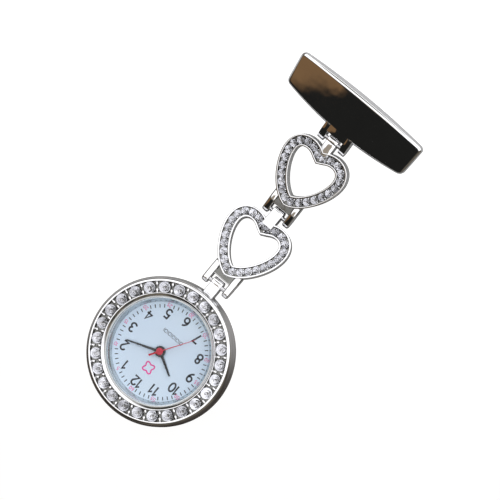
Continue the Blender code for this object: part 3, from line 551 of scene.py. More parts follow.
def window_glass(name):
    """Thin clear glass: light goes straight through, but for a gloss that grows steeply to grazing."""
    pane = Finish(name)
    pane.feed("Base Color", pane.shades(pane.noise(60.0), (0.93, 0.96, 1.0), (0.97, 0.99, 1.0)))
    pane.feed("Roughness", pane.between(pane.noise(200.0), 0.0, 0.015))
    clear = pane.node("ShaderNodeBsdfTransparent", Color=(0.985, 0.992, 1.0, 1.0))
    slant = pane.node("ShaderNodeLayerWeight", Blend=0.5).outputs["Facing"]
    grazing = pane.node("ShaderNodeMath", Value=slant)
    grazing.operation = "POWER"
    grazing.inputs[1].default_value = 5.0
    gloss = pane.between(grazing.outputs["Value"], 0.008, 0.6, 0.0, 1.0)
    mix = pane.node("ShaderNodeMixShader", Fac=gloss)
    pane.tree.links.new(clear.outputs["BSDF"], mix.inputs[1])
    pane.tree.links.new(pane.shader.outputs["BSDF"], mix.inputs[2])
    out = pane.tree.nodes["Material Output"]
    pane.tree.links.new(mix.outputs["Shader"], out.inputs["Surface"])
    return pane.material


made(
    "flat_crystal",
    turned(crystal_profile, closed=False),
    window_glass("mineral_crystal"),
    "watch",
    ["crystal"],
)


def moulded(name, light, dark, smooth, rough, grain=1400.0, depth=0.000004):
    """Moulded plastic or paint: a slight change of tone, an uneven gloss and a fine skin."""
    skin = Finish(name)
    skin.feed("Base Color", skin.shades(skin.noise(300.0), dark, light))
    skin.feed("Roughness", skin.between(skin.noise(800.0), smooth, rough))
    return skin.relief(skin.noise(grain, 3.0), depth).material


white_nylon = moulded("white_nylon", (0.8, 0.81, 0.8), (0.7, 0.71, 0.7), 0.4, 0.55)
gasket_profile = eased([(11.5, 6.9), (11.7, 6.9), (11.7, 6.1), (11.5, 6.1)], 0.04)
made("nylon_gasket", turned(gasket_profile), white_nylon, "watch", ["crystal_gasket"])

silvered_ring = Finish("silvered_ring")
silvered_ring.feed("Metallic", 0.75)
ring_tone = silvered_ring.shades(silvered_ring.noise(300.0), (0.52, 0.58, 0.62), (0.64, 0.69, 0.72))
silvered_ring.feed("Base Color", ring_tone)
silvered_ring.feed("Roughness", silvered_ring.between(silvered_ring.noise(900.0), 0.06, 0.13))
rehaut_profile = eased([(11.3, 5.97), (11.62, 5.97), (11.62, 4.92), (10.62, 4.92), (10.62, 5.0)], 0.03)
made(
    "sloped_rehaut",
    turned(rehaut_profile),
    silvered_ring.material,
    "watch",
    ["rehaut_ring"],
)


# ---- Dial ----------------------------------------------------------------------------------------
# A brass blank painted a bluish white and printed in dark and in magenta ink: hour numerals, a minute track
# with its five minute numbers, a four-leaf mark and a row of scrolls.

DIAL_TOP = 4.85
INK = 0.012
NUMERAL_CIRCLE, NUMERAL_HEIGHT, NUMERAL_PEN = 8.25, 2.15, 0.39
MINUTE_NUMBER_CIRCLE, MINUTE_NUMBER_HEIGHT, MINUTE_NUMBER_PEN = 10.05, 0.78, 0.1
TRACK_CIRCLES, TRACK_PEN = (9.45, 10.2), 0.2
SCROLL_PITCH = 1.06

dial_paint = Finish("dial_paint")
paint_tone = dial_paint.shades(dial_paint.noise(70.0, 1.0), (0.64, 0.75, 0.87), (0.68, 0.79, 0.89))
dial_paint.feed("Base Color", paint_tone)
dial_paint.feed("Roughness", dial_paint.between(dial_paint.noise(1200.0), 0.35, 0.5))
dial_paint.relief(dial_paint.noise(5000.0), 0.000002)
dial_profile = eased([(1.0, DIAL_TOP), (11.6, DIAL_TOP), (11.6, 4.57), (1.0, 4.57)], 0.03)
made("painted_dial", turned(dial_profile), dial_paint.material, "watch", ["dial"])


def clock_point(minutes, radius):
    """The point at this many minutes round the dial, whose 12 is at -Y."""
    angle = 2 * pi * minutes / 60
    return np.array([-radius * np.sin(angle), -radius * np.cos(angle)])


def drawn(path, width, closed=False):
    """A printed line along a path as a thin solid: each point is offset both ways along the mitred normal."""
    path = np.asarray(path, float)
    if closed:
        back, ahead = path - np.roll(path, 1, 0), np.roll(path, -1, 0) - path
    else:
        step = np.diff(path, axis=0)
        back, ahead = np.vstack([step[:1], step]), np.vstack([step, step[-1:]])
    back /= np.linalg.norm(back, axis=1)[:, None]
    ahead /= np.linalg.norm(ahead, axis=1)[:, None]
    along = (back + ahead) / np.linalg.norm(back + ahead, axis=1)[:, None]
    spread = width / 2 / np.maximum(np.sum(along * ahead, axis=1), 0.6)
    side = np.stack([-along[:, 1], along[:, 0]], 1) * spread[:, None]
    low = np.full((len(path), 1), DIAL_TOP + 0.004)
    high = low + INK
    left, right = path + side, path - side
    lines = [np.hstack(edge) for edge in ((left, low), (left, high), (right, high), (right, low))]
    return shell(np.stack(lines, 1), wrap_rows=closed)


def arc(x, y, half_width, half_height, start, stop, count=14):
    """Points (x + a cos t, y + b sin t) from one angle to another, in degrees."""
    t = np.radians(np.linspace(start, stop, count))
    return np.stack([x + half_width * np.cos(t), y + half_height * np.sin(t)], 1)


def digit_lines(digit):
    """The pen lines of a digit one unit tall and about 0.6 wide."""
    if digit == "0":
        return [arc(0.3, 0.5, 0.26, 0.46, 0, 360, 24)]
    if digit == "1":
        return [[(0.08, 0.72), (0.34, 0.96), (0.34, 0.0)]]
    if digit == "2":
        return [np.vstack([arc(0.3, 0.7, 0.25, 0.26, 175, -35), [(0.07, 0.04), (0.6, 0.04)]])]
    if digit == "3":
        return [np.vstack([arc(0.28, 0.73, 0.22, 0.23, 160, -70), arc(0.28, 0.27, 0.27, 0.24, 75, -160)])]
    if digit == "4":
        return [[(0.43, 0.0), (0.43, 0.94), (0.03, 0.28), (0.62, 0.28)]]
    if digit == "5":
        flag = [(0.54, 0.96), (0.14, 0.96), (0.1, 0.56)]
        return [np.vstack([flag, arc(0.29, 0.32, 0.27, 0.29, 118, -150)])]
    if digit == "6":
        return [arc(0.3, 0.3, 0.25, 0.27, 0, 360, 20), arc(0.62, 0.34, 0.57, 0.64, 175, 105, 8)]
    if digit == "7":
        return [[(0.04, 0.96), (0.56, 0.96), (0.2, 0.0)]]
    if digit == "8":
        return [arc(0.3, 0.74, 0.21, 0.22, 0, 360, 20), arc(0.3, 0.27, 0.26, 0.25, 0, 360, 20)]
    return [(0.6, 1.0) - np.asarray(line) for line in digit_lines("6")]


def numbered(number, height, width, at):
    """A number's lines, scaled to a height, centred on a place and read from the chain's side."""
    solids, advance = [], np.cumsum([0.0] + [0.52 if digit == "1" else 0.76 for digit in str(number)])
    for digit, start in zip(str(number), advance):
        for line in digit_lines(digit):
            flat = (np.asarray(line) + (start - advance[-1] / 2 + 0.06, -0.5)) * height
            solids.append(drawn(np.asarray(at) - flat, width))
    return solids


def ink(name, colour):
    """Printed ink: dense, slightly glossy, a little uneven."""
    lighter = tuple(min(1.0, part * 1.5 + 0.01) for part in colour)
    return moulded(name, lighter, colour, 0.35, 0.5, 6000.0, 0.000001)


PRINT_SHIFT = np.array([0.2, 0.0])
dark_print = []
for hour in range(1, 13):
    at = clock_point(5 * hour, NUMERAL_CIRCLE) + PRINT_SHIFT
    dark_print += numbered(hour, NUMERAL_HEIGHT, NUMERAL_PEN, at)
for minute in range(60):
    if minute % 5:
        ends = [clock_point(minute, radius) + PRINT_SHIFT for radius in TRACK_CIRCLES]
        dark_print.append(drawn(ends, TRACK_PEN))
for k in range(-2, 3):
    scroll_at = PRINT_SHIFT + (SCROLL_PITCH * k, 4.1)
    bar_at = scroll_at - (SCROLL_PITCH / 2, 0.0)
    dark_print.append(drawn(arc(*scroll_at, 0.3, 0.36, 0, 330), 0.12))
    dark_print.append(drawn([bar_at - (0.0, 0.4), bar_at + (0.0, 0.4)], 0.1))
dark_ink = ink("dark_ink", (0.012, 0.013, 0.02))
made("dark_print", gathered(*dark_print), dark_ink, "watch", crease=30)

magenta_print = []
for five in range(1, 13):
    at = clock_point(5 * five, MINUTE_NUMBER_CIRCLE) + PRINT_SHIFT
    magenta_print += numbered(5 * five, MINUTE_NUMBER_HEIGHT, MINUTE_NUMBER_PEN, at)
leaf_turn = np.linspace(0, 2 * pi, 64, endpoint=False)
leaf_reach = 1.05 + 0.26 * np.cos(4 * leaf_turn + pi)
leaf_mark = np.stack([leaf_reach * np.cos(leaf_turn), leaf_reach * np.sin(leaf_turn)], 1)
magenta_print.append(drawn(leaf_mark + PRINT_SHIFT + (0.0, -4.3), 0.3, closed=True))
magenta_ink = ink("magenta_ink", (0.6, 0.03, 0.22))
made("magenta_print", gathered(*magenta_print), magenta_ink, "watch", crease=30)


# ---- Hands ---------------------------------------------------------------------------------------
# Stamped brass batons, black for the hours and minutes and red for the seconds, pressed on their pipes. Each
# rides on its own arbor.

HUB_STEPS = 48


def hand_blade(reach, root, tip, low, high, angle, tail=0.0, tail_width=0.0):
    """A tapering blade from the axis outwards, its edges eased, turned to its angle on the clock."""
    outline = [(0.0, -root / 2), (reach, -tip / 2), (reach, tip / 2), (0.0, root / 2)]
    if tail:
        outline = [(-tail, -tail_width / 2)] + outline + [(-tail, tail_width / 2)]
    points, faces = slab(eased(outline, 0.06), low, high, 0.035, 2)
    turn = radians(-90.0 - angle)
    x = points[:, 0] * cos(turn) - points[:, 1] * sin(turn)
    y = points[:, 0] * sin(turn) + points[:, 1] * cos(turn)
    return np.stack([x, y, points[:, 2]], 1), faces


def hand_hub(radius, low, high, hole=0.0):
    """A round boss with eased edges, open in the middle if it has a hole."""
    section = [(hole, high), (radius, high), (radius, low), (hole, low)]
    if hole:
        return turned(eased(section, 0.05), steps=HUB_STEPS)
    return turned(eased(section, 0.06, closed=False), closed=False, steps=HUB_STEPS)


black_lacquer = moulded(
    "black_lacquer", (0.018, 0.018, 0.02), (0.008, 0.008, 0.01), 0.18, 0.32, 3000.0, 0.000002
)
red_lacquer = moulded("red_lacquer", (0.62, 0.02, 0.05), (0.5, 0.012, 0.035), 0.22, 0.35, 3000.0, 0.000002)
HOUR_ANGLE, MINUTE_ANGLE, SECOND_ANGLE = 299.0, 68.7, 212.7

made(
    "hour_baton",
    gathered(
        hand_blade(reach=5.6, root=0.66, tip=0.34, low=5.1, high=5.26, angle=HOUR_ANGLE),
        hand_hub(1.18, 5.09, 5.28, hole=0.86),
    ),
    black_lacquer,
    "hour_arbor",
    ["hour_hand"],
)
made(
    "minute_baton",
    gathered(
        hand_blade(reach=7.75, root=0.56, tip=0.3, low=5.38, high=5.52, angle=MINUTE_ANGLE),
        hand_hub(1.15, 5.37, 5.55, hole=0.6),
    ),
    black_lacquer,
    "minute_arbor",
    ["minute_hand"],
)
made(
    "second_sweep",
    gathered(
        hand_blade(8.15, 0.26, 0.1, 5.7, 5.79, SECOND_ANGLE, tail=2.5, tail_width=0.44),
        hand_hub(0.77, 5.66, 5.9),
        hand_hub(0.3, 5.88, 5.96),
    ),
    red_lacquer,
    "second_arbor",
    ["second_hand"],
)


# ---- Movement ------------------------------------------------------------------------------------
# The quartz movement inside: nylon plates, brass wheels, steel arbors, a copper coil and a circuit. The
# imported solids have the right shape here, so each only gets its finish.


def machined(name, light, dark, smooth, rough):
    """Cut metal with a fine one-way grain."""
    metal = Finish(name)
    metal.feed("Metallic", 1.0)
    grain = metal.noise(2200.0, 3.0, (1.0, 0.12, 1.0))
    metal.feed("Base Color", metal.shades(grain, dark, light))
    metal.feed("Roughness", metal.between(metal.noise(700.0), smooth, rough))
    return metal.relief(grain, 0.000003).material


bright_steel = machined("bright_steel", (0.7, 0.7, 0.71), (0.55, 0.55, 0.57), 0.14, 0.26)
wound_wire = Finish("wound_wire")
wire_bands = wound_wire.node("ShaderNodeTexWave", Vector=wound_wire.space(), Scale=2600.0, Distortion=1.0)
wire_tone = wound_wire.shades(wire_bands.outputs["Fac"], (0.3, 0.1, 0.04), (0.75, 0.34, 0.16))
wound_wire.feed("Metallic", 0.9)
wound_wire.feed("Base Color", wire_tone)
wound_wire.feed("Roughness", wound_wire.between(wound_wire.noise(900.0), 0.25, 0.4))
wound_wire.relief(wire_bands.outputs["Fac"], 0.00002)

slot_finish = {
    "chrome_plate": polished_chrome,
    "brushed_steel": bright_steel,
    "brass": machined("cut_brass", (0.78, 0.58, 0.25), (0.62, 0.43, 0.15), 0.18, 0.32),
    "white_nylon": white_nylon,
    "black_rubber": moulded("black_rubber", (0.03, 0.03, 0.03), (0.015, 0.015, 0.015), 0.7, 0.85),
    "green_board": moulded("solder_mask", (0.03, 0.22, 0.1), (0.015, 0.14, 0.06), 0.25, 0.4),
    "black_epoxy": moulded("black_epoxy", (0.03, 0.03, 0.032), (0.015, 0.015, 0.017), 0.35, 0.55),
    "copper_wire": wound_wire.material,
    "magnet_steel": machined("sintered_magnet", (0.3, 0.3, 0.31), (0.16, 0.16, 0.17), 0.35, 0.5),
}
for part in frame["record"]["subparts"]:
    node = frame["nodes"][part["node"]]
    if not node.hide_render and part["material_slot"] in slot_finish:
        node.data.materials.clear()
        node.data.materials.append(slot_finish[part["material_slot"]])


# ---- Crown ---------------------------------------------------------------------------------------
# A small chromium-plated crown in a recess of the case, turned from bar and fluted for the fingers. It is
# pressed on the stem and rides with it.

FLUTES, FLUTE_DEPTH = 20, 0.05
crown_low, crown_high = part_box("crown")
crown_centre = np.array([(a + b) / 2 for a, b in zip(crown_low, crown_high)]) / MM
crown_outer, crown_inner = crown_low[0] / MM, crown_high[0] / MM
crown_radius = (crown_high[2] - crown_low[2]) / 2 / MM
crown_length = crown_inner - crown_outer
crown_side = [(crown_radius * 0.98, crown_length), (crown_radius, 0.12), (crown_radius * 0.8, 0.0)]
crown_profile = eased([(0.0, crown_length)] + crown_side + [(0.0, -0.02)], 0.12, closed=False)
crown_points, crown_faces = turned(crown_profile, closed=False, steps=FLUTES * 8)
around = np.arctan2(crown_points[:, 1], crown_points[:, 0])
crown_reach = np.linalg.norm(crown_points[:, :2], axis=1)
groove = FLUTE_DEPTH * (0.5 + 0.5 * np.cos(FLUTES * around)) ** 0.6
crown_points[:, :2] *= np.where(crown_reach > crown_radius * 0.85, 1 - groove, 1.0)[:, None]
crown_x = crown_points[:, 2] + crown_outer
crown_y = crown_points[:, 0] + crown_centre[1]
crown_z = crown_points[:, 1] + crown_centre[2]
crown_points = np.stack([crown_x, crown_y, crown_z], 1)
made("fluted_crown", (crown_points, crown_faces), polished_chrome, "winding_stem", ["crown"])


# ---- Heart links ---------------------------------------------------------------------------------
# Two cast open hearts, chromium plated. Each band has a channel for stones between two thin rims, a fork
# with two ears under its tip, and a square knuckle over its notch that fits the next fork.

HEART_HALF_WIDTH = 7.85
HEART_HEIGHT = 15.35
HEART_TIP = 2.5
HEART_HALF_THICKNESS = 1.25
BAND_WIDTH, CHANNEL_BED = 2.6, 0.35
HEART_STONES = 24
HEART_STONE_RADIUS, HEART_GIRDLE_HEIGHT = 0.83, 0.93
HEART_PRONG_RADIUS, HEART_PRONG_OFFSET, HEART_PRONG_HEIGHT = 0.19, 0.6, 0.95
LINK_PITCH = 19.6
FORK_HALF_GAP = 2.05
FORK_HALF_WIDTH = 3.6


def bezier(a, b, c, d, count):
    """Points of (1-t)^3 a + 3t(1-t)^2 b + 3t^2(1-t) c + t^3 d from a towards d, without the last."""
    t = np.linspace(0, 1, count, endpoint=False)[:, None]
    a, b, c, d = (np.array(point) for point in (a, b, c, d))
    return (1 - t) ** 3 * a + 3 * t * (1 - t) ** 2 * b + 3 * t**2 * (1 - t) * c + t**3 * d


def heart_half():
    """The right half of the heart's outline from its tip to its notch, as three cubic curves."""
    w, h = HEART_HALF_WIDTH, HEART_HEIGHT
    side, lobe, notch = (w, 0.7 * h), (0.43 * w, h), (0.0, h - 1.1)
    flank = bezier((0.0, 0.0), (0.48 * w, 0.045 * h), (w, 0.42 * h), side, 160)
    shoulder = bezier(side, (w, 0.885 * h), (0.75 * w, h), lobe, 90)
    dip = bezier(lobe, (0.22 * w, h), (0.08 * w, h - 0.7), notch, 70)
    return np.vstack([flank, shoulder, dip, [notch]])


def heart_line(inset, halves=56):
    """The heart's outline moved in: its right half moves along its normals and is cut off at the middle line.

    The points are then spaced evenly and mirrored for the left half.
    """
    half = heart_half()
    along = np.gradient(half, axis=0)
    normal = np.stack([-along[:, 1], along[:, 0]], 1)
    line = half + inset * normal / np.linalg.norm(normal, axis=1)[:, None]
    line = line[line[:, 0] > 0.02]
    if inset > 0.3:
        foot = line[0] - (line[1] - line[0]) * line[0, 0] / max(line[1, 0] - line[0, 0], 1e-6)
        head = line[-1] + (line[-1] - line[-2]) * line[-1, 0] / max(line[-2, 0] - line[-1, 0], 1e-6)
        head[1] = max(head[1], line[-1, 1] - 0.5 * line[-1, 0])
        line = np.vstack([[(0.0, foot[1])], line, [(0.0, head[1])]])
    else:
        line = np.vstack([[(0.0, line[0, 1])], line, [(0.0, line[-1, 1])]])
    step = np.concatenate([[0.0], np.cumsum(np.linalg.norm(np.diff(line, axis=0), axis=1))])
    even = np.linspace(0, step[-1], halves + 1)
    right = np.stack([np.interp(even, step, line[:, 0]), np.interp(even, step, line[:, 1])], 1)
    left = right[-2:0:-1] * (-1, 1)
    return np.vstack([right, left]) + (0.0, HEART_TIP)


def heart_band():
    """The band's section of (distance in from the edge, height) carried round the heart."""
    top, low = HEART_HALF_THICKNESS, -HEART_HALF_THICKNESS
    rim, width = 0.42, BAND_WIDTH
    section = eased(
        [(0.0, low), (0.0, top), (rim, top), (rim + 0.02, CHANNEL_BED)]
        + [(width - rim - 0.02, CHANNEL_BED), (width - rim, top), (width, top), (width, low)],
        [0.2, 0.16, 0.12, 0.05, 0.05, 0.12, 0.16, 0.2],
        steps=3,
    )
    lines = [heart_line(inset) for inset, _ in section]
    rows = [np.c_[line, np.full(len(line), height)] for line, (_, height) in zip(lines, section)]
    return shell(np.array(rows), wrap_rows=True)


def ears(neck_y, top, bottom, slope_from, web_drop, edge):
    """Two ears round the hinge and a web between them: from slope_from on, an ear's top falls to its end."""
    neck = (neck_y, top - 0.16)
    side = [(slope_from, top), (-0.72, 0.68), (-1.28, 0.0), (-0.95, -0.95), (0.2, bottom), (neck_y, bottom)]
    outline = eased([neck] + side, 0.6)
    web = eased([(1.5, bottom), (neck_y, bottom), (neck_y, neck[1] - web_drop), (1.5, top - web_drop)], 0.15)
    return gathered(
        slab(outline, -FORK_HALF_WIDTH, -FORK_HALF_GAP, edge, 4, "X"),
        slab(outline, FORK_HALF_GAP, FORK_HALF_WIDTH, edge, 4, "X"),
        slab(web, -FORK_HALF_GAP - 0.3, FORK_HALF_GAP + 0.3, 0.05, 3, "X"),
    )


def heart_path(count, inset):
    """Even places along the heart moved in by inset, from the tip round."""
    line = heart_line(inset, 200)
    loop = np.vstack([line, line[:1]])
    step = np.concatenate([[0.0], np.cumsum(np.linalg.norm(np.diff(loop, axis=0), axis=1))])
    even = step[-1] * (np.arange(count) + 0.5) / count
    return np.stack([np.interp(even, step, loop[:, 0]), np.interp(even, step, loop[:, 1])], 1)


def tilt_between(start, end):
    """The angle about X of the line from one hinge to the next."""
    return atan2(end[2] - start[2], end[1] - start[1])


middle_hinge = joint_point["middle_hinge"]
upper_hinge = joint_point["upper_hinge"]
links = {
    "lower": (lug_hinge, tilt_between(lug_hinge, middle_hinge)),
    "upper": (middle_hinge, tilt_between(middle_hinge, upper_hinge)),
}
for link, (at, tilt) in links.items():
    placed = carried_by(at, tilt)
    body = f"{link}_link"
    casting = gathered(
        heart_band(),
        ears(neck_y=4.6, top=1.05, bottom=-1.2, slope_from=2.2, web_drop=0.35, edge=0.38),
        knuckle(LINK_PITCH, 0.0, HEART_TIP + HEART_HEIGHT - 1.7, bottom=-1.2),
    )
    name = f"{link}_heart_casting"
    heart = made(name, casting, polished_chrome, body, [f"{link}_heart_frame"], placed)

    def in_recess(x, y, z, at=at, tilt=tilt):
        """Whether a place is on the channel's floor or walls, measured along and across the link."""
        along = (y - at[1]) * cos(tilt) + (z - at[2]) * sin(tilt)
        rise = (z - at[2]) * cos(tilt) - (y - at[1]) * sin(tilt)
        on_heart = (along > HEART_TIP + 0.1) & (along < LINK_PITCH - 1.7)
        return on_heart & (rise > CHANNEL_BED - 0.1) & (rise < HEART_HALF_THICKNESS - 0.31)

    # Painted shade: the heart's channel floor and walls get the darker recess finish.
    dull_where(heart, in_recess)
    seats = np.c_[heart_path(HEART_STONES, BAND_WIDTH / 2), np.full(HEART_STONES, HEART_GIRDLE_HEIGHT)]
    stands_for = [f"{link}_heart_stones"]
    set_stones(f"{link}_heart_cut_stones", HEART_STONE_RADIUS, seats, body, stands_for, placed)
    gaps = heart_path(2 * HEART_STONES, BAND_WIDTH / 2)[1::2]
    away = gaps - gaps.mean(0)
    away /= np.linalg.norm(away, axis=1)[:, None]
    pairs = np.vstack([gaps + HEART_PRONG_OFFSET * away, gaps - HEART_PRONG_OFFSET * away])
    pairs = np.c_[pairs, np.full(len(pairs), HEART_PRONG_HEIGHT)]
    lie = np.tile(np.arctan2(away[:, 1], away[:, 0]), 2)
    prong_beads(f"{link}_heart_prongs", HEART_PRONG_RADIUS, pairs, lie, body, placed)


# ---- Brooch plate --------------------------------------------------------------------------------
# A cast bow-shaped plate with an arched, mirror-polished face and a narrow bevel round it, hollowed at the
# back. Its lower edge carries the fork for the upper heart.

PLATE_BOTTOM_EDGE, PLATE_TOP_EDGE = 2.6, 12.3
TOP_BULGE, BOTTOM_BULGE = 0.8, 1.3
PLATE_HALF_TOP, PLATE_HALF_BOTTOM = 16.5, 15.8
FACE_HEIGHT, FACE_ARCH, FACE_CROSS_ARCH = 1.3, 0.95, 0.1
PLATE_BACK = -1.1
BEVEL_WIDTH, BEVEL_DROP = 0.5, 0.42
PLATE_CORNER = 1.1

pin_axis = next(joint["axis"] for joint in frame["joints"] if joint["name"] == "pin_swing")
on_brooch = carried_by(upper_hinge, atan2(pin_axis[2], pin_axis[1]))


def plate_point(u, v):
    """The place across the plate: u runs -1 to 1 along it and v 0 to 1 from its lower to its upper edge."""
    low = PLATE_BOTTOM_EDGE + BOTTOM_BULGE * u**2
    high = PLATE_TOP_EDGE - TOP_BULGE * u**2
    half = PLATE_HALF_BOTTOM + (PLATE_HALF_TOP - PLATE_HALF_BOTTOM) * v
    return u * half, low + (high - low) * v


def face_height(x, y):
    """The arched face's height, which falls with the square of the distance from its middle, both ways."""
    middle = (PLATE_BOTTOM_EDGE + PLATE_TOP_EDGE) / 2
    along = FACE_ARCH * (x / PLATE_HALF_TOP) ** 2
    across = FACE_CROSS_ARCH * ((y - middle) / 5) ** 2
    return FACE_HEIGHT - along - across


def plate_ring(inset, u_count=72, v_count=24):
    """The plate's outline, counter-clockwise, at this distance in from its edge.

    Near a corner a point moves to the arc of radius PLATE_CORNER, along the line to the arc's centre.
    """
    u = np.linspace(-1, 1, u_count, endpoint=False)
    v = np.linspace(-1, 1, v_count, endpoint=False)
    sides = [(u, 0 * u - 1), (1 + 0 * v, v), (-u, 1 + 0 * u), (-1 + 0 * v, -v)]
    half = np.array([PLATE_HALF_TOP, (PLATE_TOP_EDGE - PLATE_BOTTOM_EDGE - 1.0) / 2])
    square = np.stack([np.concatenate(part) for part in zip(*sides)], 1)
    corner = max(PLATE_CORNER - inset, 1e-6)
    flat = square * (half - inset)
    past = np.abs(flat) - (half - inset - corner)
    pull = corner / np.maximum(np.linalg.norm(past, axis=1), corner)
    rounded = np.sign(flat) * (half - inset - corner + past * pull[:, None])
    flat = np.where((past > 0).all(axis=1)[:, None], rounded, flat)
    share_u, share_v = (flat / half).T
    return np.stack(plate_point(share_u, 0.5 + share_v / 2), 1)


def plate_shell():
    """Rings from the back out to the edge, up the wall, over the bevel and in to the face's middle line."""
    rows = []

    def ring(inset, height):
        flat = plate_ring(inset)
        level = height(flat) if callable(height) else np.full(len(flat), height)
        rows.append(np.c_[flat, level])

    hollow = ((4.3, 0.75), (3.0, 0.75), (1.75, 0.75), (1.6, 0.7), (1.55, 0.0))
    back_edge = ((0.15, 0.0), (0.04, 0.05), (0.0, 0.15))
    for inset, rise in hollow + back_edge:
        ring(inset, PLATE_BACK + rise)
    bevel = ((0.0, 1.35), (0.02, 1.14), (0.1, 0.9), (0.3, 0.5), (0.9, 0.1), (1.0, 0.03), (1.2, 0.0))
    for share, rest in bevel:
        ring(share * BEVEL_WIDTH, lambda flat, rest=rest: face_height(*flat.T) - rest * BEVEL_DROP)
    for inset in (1.0, 1.5, 2.2, 3.0, 3.7, 4.35):
        ring(inset, lambda flat: face_height(*flat.T))
    points, faces = shell(np.array(rows))
    return points, faces[:-1]


made(
    "polished_brooch_plate",
    gathered(
        plate_shell(),
        ears(4.3, KNUCKLE_RADIUS, PLATE_BACK, slope_from=1.0, web_drop=0.0, edge=0.12),
    ),
    polished_chrome,
    "brooch",
    ["brooch_plate"],
    on_brooch,
)


# ---- Floor, light and camera ---------------------------------------------------------------------
# A table top that the camera sees as white, but that carries painted shade, dark brown where y - 0.6 x is low,
# which the polished faces show in reflection.
# It stands in a dim room under one broad softbox. Dark and warm flags stand round the watch so that its polished
# faces have something to show.


def table_top():
    """A flat sheet far wider than the watch, in metres, with painted shade that runs with y - 0.6 x past the watch
    and is dark brown where that is low.
    """
    table = bpy.data.meshes.new("table_top")
    half, level = 1.5, -0.00012
    corners = [(-half, -half, level), (half, -half, level), (half, half, level), (-half, half, level)]
    table.from_pydata(corners, [], [(0, 1, 2, 3)])
    top = bpy.data.objects.new("table_top", table)
    bpy.context.scene.collection.objects.link(top)
    paper = Finish("white_table_with_painted_shade")
    own = paper.node("ShaderNodeTexCoord").outputs["Object"]
    split = paper.node("ShaderNodeSeparateXYZ", Vector=own).outputs
    skew = paper.node("ShaderNodeMath", Value=split["X"])
    skew.operation = "MULTIPLY_ADD"
    skew.inputs[1].default_value = -0.6
    paper.tree.links.new(split["Y"], skew.inputs[2])
    # Painted shade: the table turns dark brown where y - 0.6 x falls below about -10 mm and greys beyond, and the
    # polished faces show it in reflection; grain adds a faint noise to it.
    shade = paper.between(skew.outputs["Value"], 0.3, 0.7, -0.01, 0.074)
    grain = paper.node("ShaderNodeMath", Value=paper.between(paper.noise(60.0), -0.01, 0.01))
    paper.tree.links.new(shade, grain.inputs[1])
    shade_tones = [(0.035, 0.026, 0.018), (0.36, 0.35, 0.34), (0.28, 0.28, 0.27)]
    shade_tones += [(0.42, 0.42, 0.41), (0.62, 0.62, 0.62)]
    paper.feed("Base Color", paper.shades(grain.outputs["Value"], *shade_tones))
    paper.feed("Roughness", paper.between(paper.noise(80.0), 0.8, 0.9))
    paper.feed("Emission Color", (1.0, 1.0, 1.0, 1.0))
    direct = paper.node("ShaderNodeLightPath").outputs["Is Camera Ray"]
    paper.feed("Emission Strength", paper.between(direct, 0.0, 0.97, 0.0, 1.0))
    table.materials.append(paper.material)


table_top()


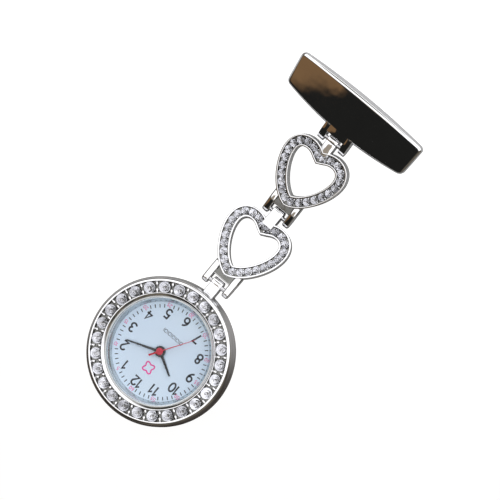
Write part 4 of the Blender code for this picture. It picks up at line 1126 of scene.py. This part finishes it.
def studio_dome():
    """A dim room under one softbox: a light or a flag is the smooth share of directions near its own."""
    world = bpy.data.worlds.new("studio")
    bpy.context.scene.world = world
    world.use_nodes = True
    tree = world.node_tree

    def put(kind, inputs=None, **settings):
        """The outputs of a new node, whose inputs are linked or set by name or number."""
        added = tree.nodes.new(kind)
        for setting, value in settings.items():
            setattr(added, setting, value)
        for socket, value in (inputs or {}).items():
            if isinstance(value, bpy.types.NodeSocket):
                tree.links.new(value, added.inputs[socket])
            else:
                added.inputs[socket].default_value = value
        return added.outputs

    direction = put("ShaderNodeTexCoord")["Generated"]
    wander = put("ShaderNodeTexNoise", {"Vector": direction, "Scale": 2.6})
    steady = put("ShaderNodeVectorMath", {0: direction, 1: (0.04, 0.04, 0.04)}, operation="SUBTRACT")
    waver = {0: wander["Color"], 1: (0.08, 0.08, 0.08), 2: steady["Vector"]}
    shift = put("ShaderNodeVectorMath", waver, operation="MULTIPLY_ADD")["Vector"]
    room = tree.nodes.new("ShaderNodeValToRGB")
    tree.links.new(wander["Fac"], room.inputs["Fac"])
    room_shades = (0.42, (0.05, 0.05, 0.042)), (0.62, (0.2, 0.17, 0.13))
    for stop, (place, shade) in zip(room.color_ramp.elements, room_shades):
        stop.position = place
        stop.color = (*shade, 1.0)
    colour = room.outputs["Color"]
    patches = (
        ((0.05, 0.42, 0.9), 48.0, 62.0, (1.55, 1.55, 1.57)),
        ((-0.1, -0.85, 0.55), 24.0, 36.0, (0.014, 0.014, 0.013)),
        ((-0.4, -0.575, 0.714), 9.0, 11.0, (0.2, 0.115, 0.055)),
        ((-0.19, -0.33, 0.92), 5.0, 8.0, (0.36, 0.31, 0.25)),
        ((-0.19, 0.69, 0.7), 7.0, 13.0, (0.17, 0.17, 0.14)),
    )
    for towards, inner, outer, shade in patches:
        towards = Vector(towards).normalized()
        facing = put("ShaderNodeVectorMath", {0: shift, 1: towards}, operation="DOT_PRODUCT")["Value"]
        reach = {"Value": facing, "From Min": cos(radians(outer)), "From Max": cos(radians(inner))}
        share = put("ShaderNodeMapRange", reach, interpolation_type="SMOOTHSTEP")["Result"]
        colour = put("ShaderNodeMix", {"Factor": share, 6: colour, 7: (*shade, 1.0)}, data_type="RGBA")[2]
    direct = put("ShaderNodeLightPath")["Is Camera Ray"]
    white = {"Factor": direct, 6: colour, 7: (1.0, 1.0, 1.0, 1.0)}
    seen = put("ShaderNodeMix", white, data_type="RGBA")[2]
    tree.links.new(seen, tree.nodes["Background"].inputs["Color"])


studio_dome()

CAMERA_DISTANCE = 500.0
CAMERA_TARGET = Vector((0.9, 28.7, 4.5))
CAMERA_BACK = Vector((0.19, 0.09, 0.978)).normalized()
CHAIN_RISE = radians(50.54)

lens = bpy.data.cameras.new("camera")
lens.lens = 171.0
lens.sensor_width = 36.0
lens.clip_start = 0.01
camera = bpy.data.objects.new("camera", lens)
bpy.context.scene.collection.objects.link(camera)
along_chain = Vector((0, 1, 0)) - CAMERA_BACK * CAMERA_BACK.y
along_chain.normalize()
beside_chain = CAMERA_BACK.cross(along_chain)
right = cos(CHAIN_RISE) * along_chain - sin(CHAIN_RISE) * beside_chain
up = sin(CHAIN_RISE) * along_chain + cos(CHAIN_RISE) * beside_chain
turn = Matrix((right, up, CAMERA_BACK)).transposed().to_4x4()
camera.matrix_world = Matrix.Translation((CAMERA_TARGET + CAMERA_BACK * CAMERA_DISTANCE) * MM) @ turn
bpy.context.scene.camera = camera
bpy.context.scene.view_settings.view_transform = "Standard"
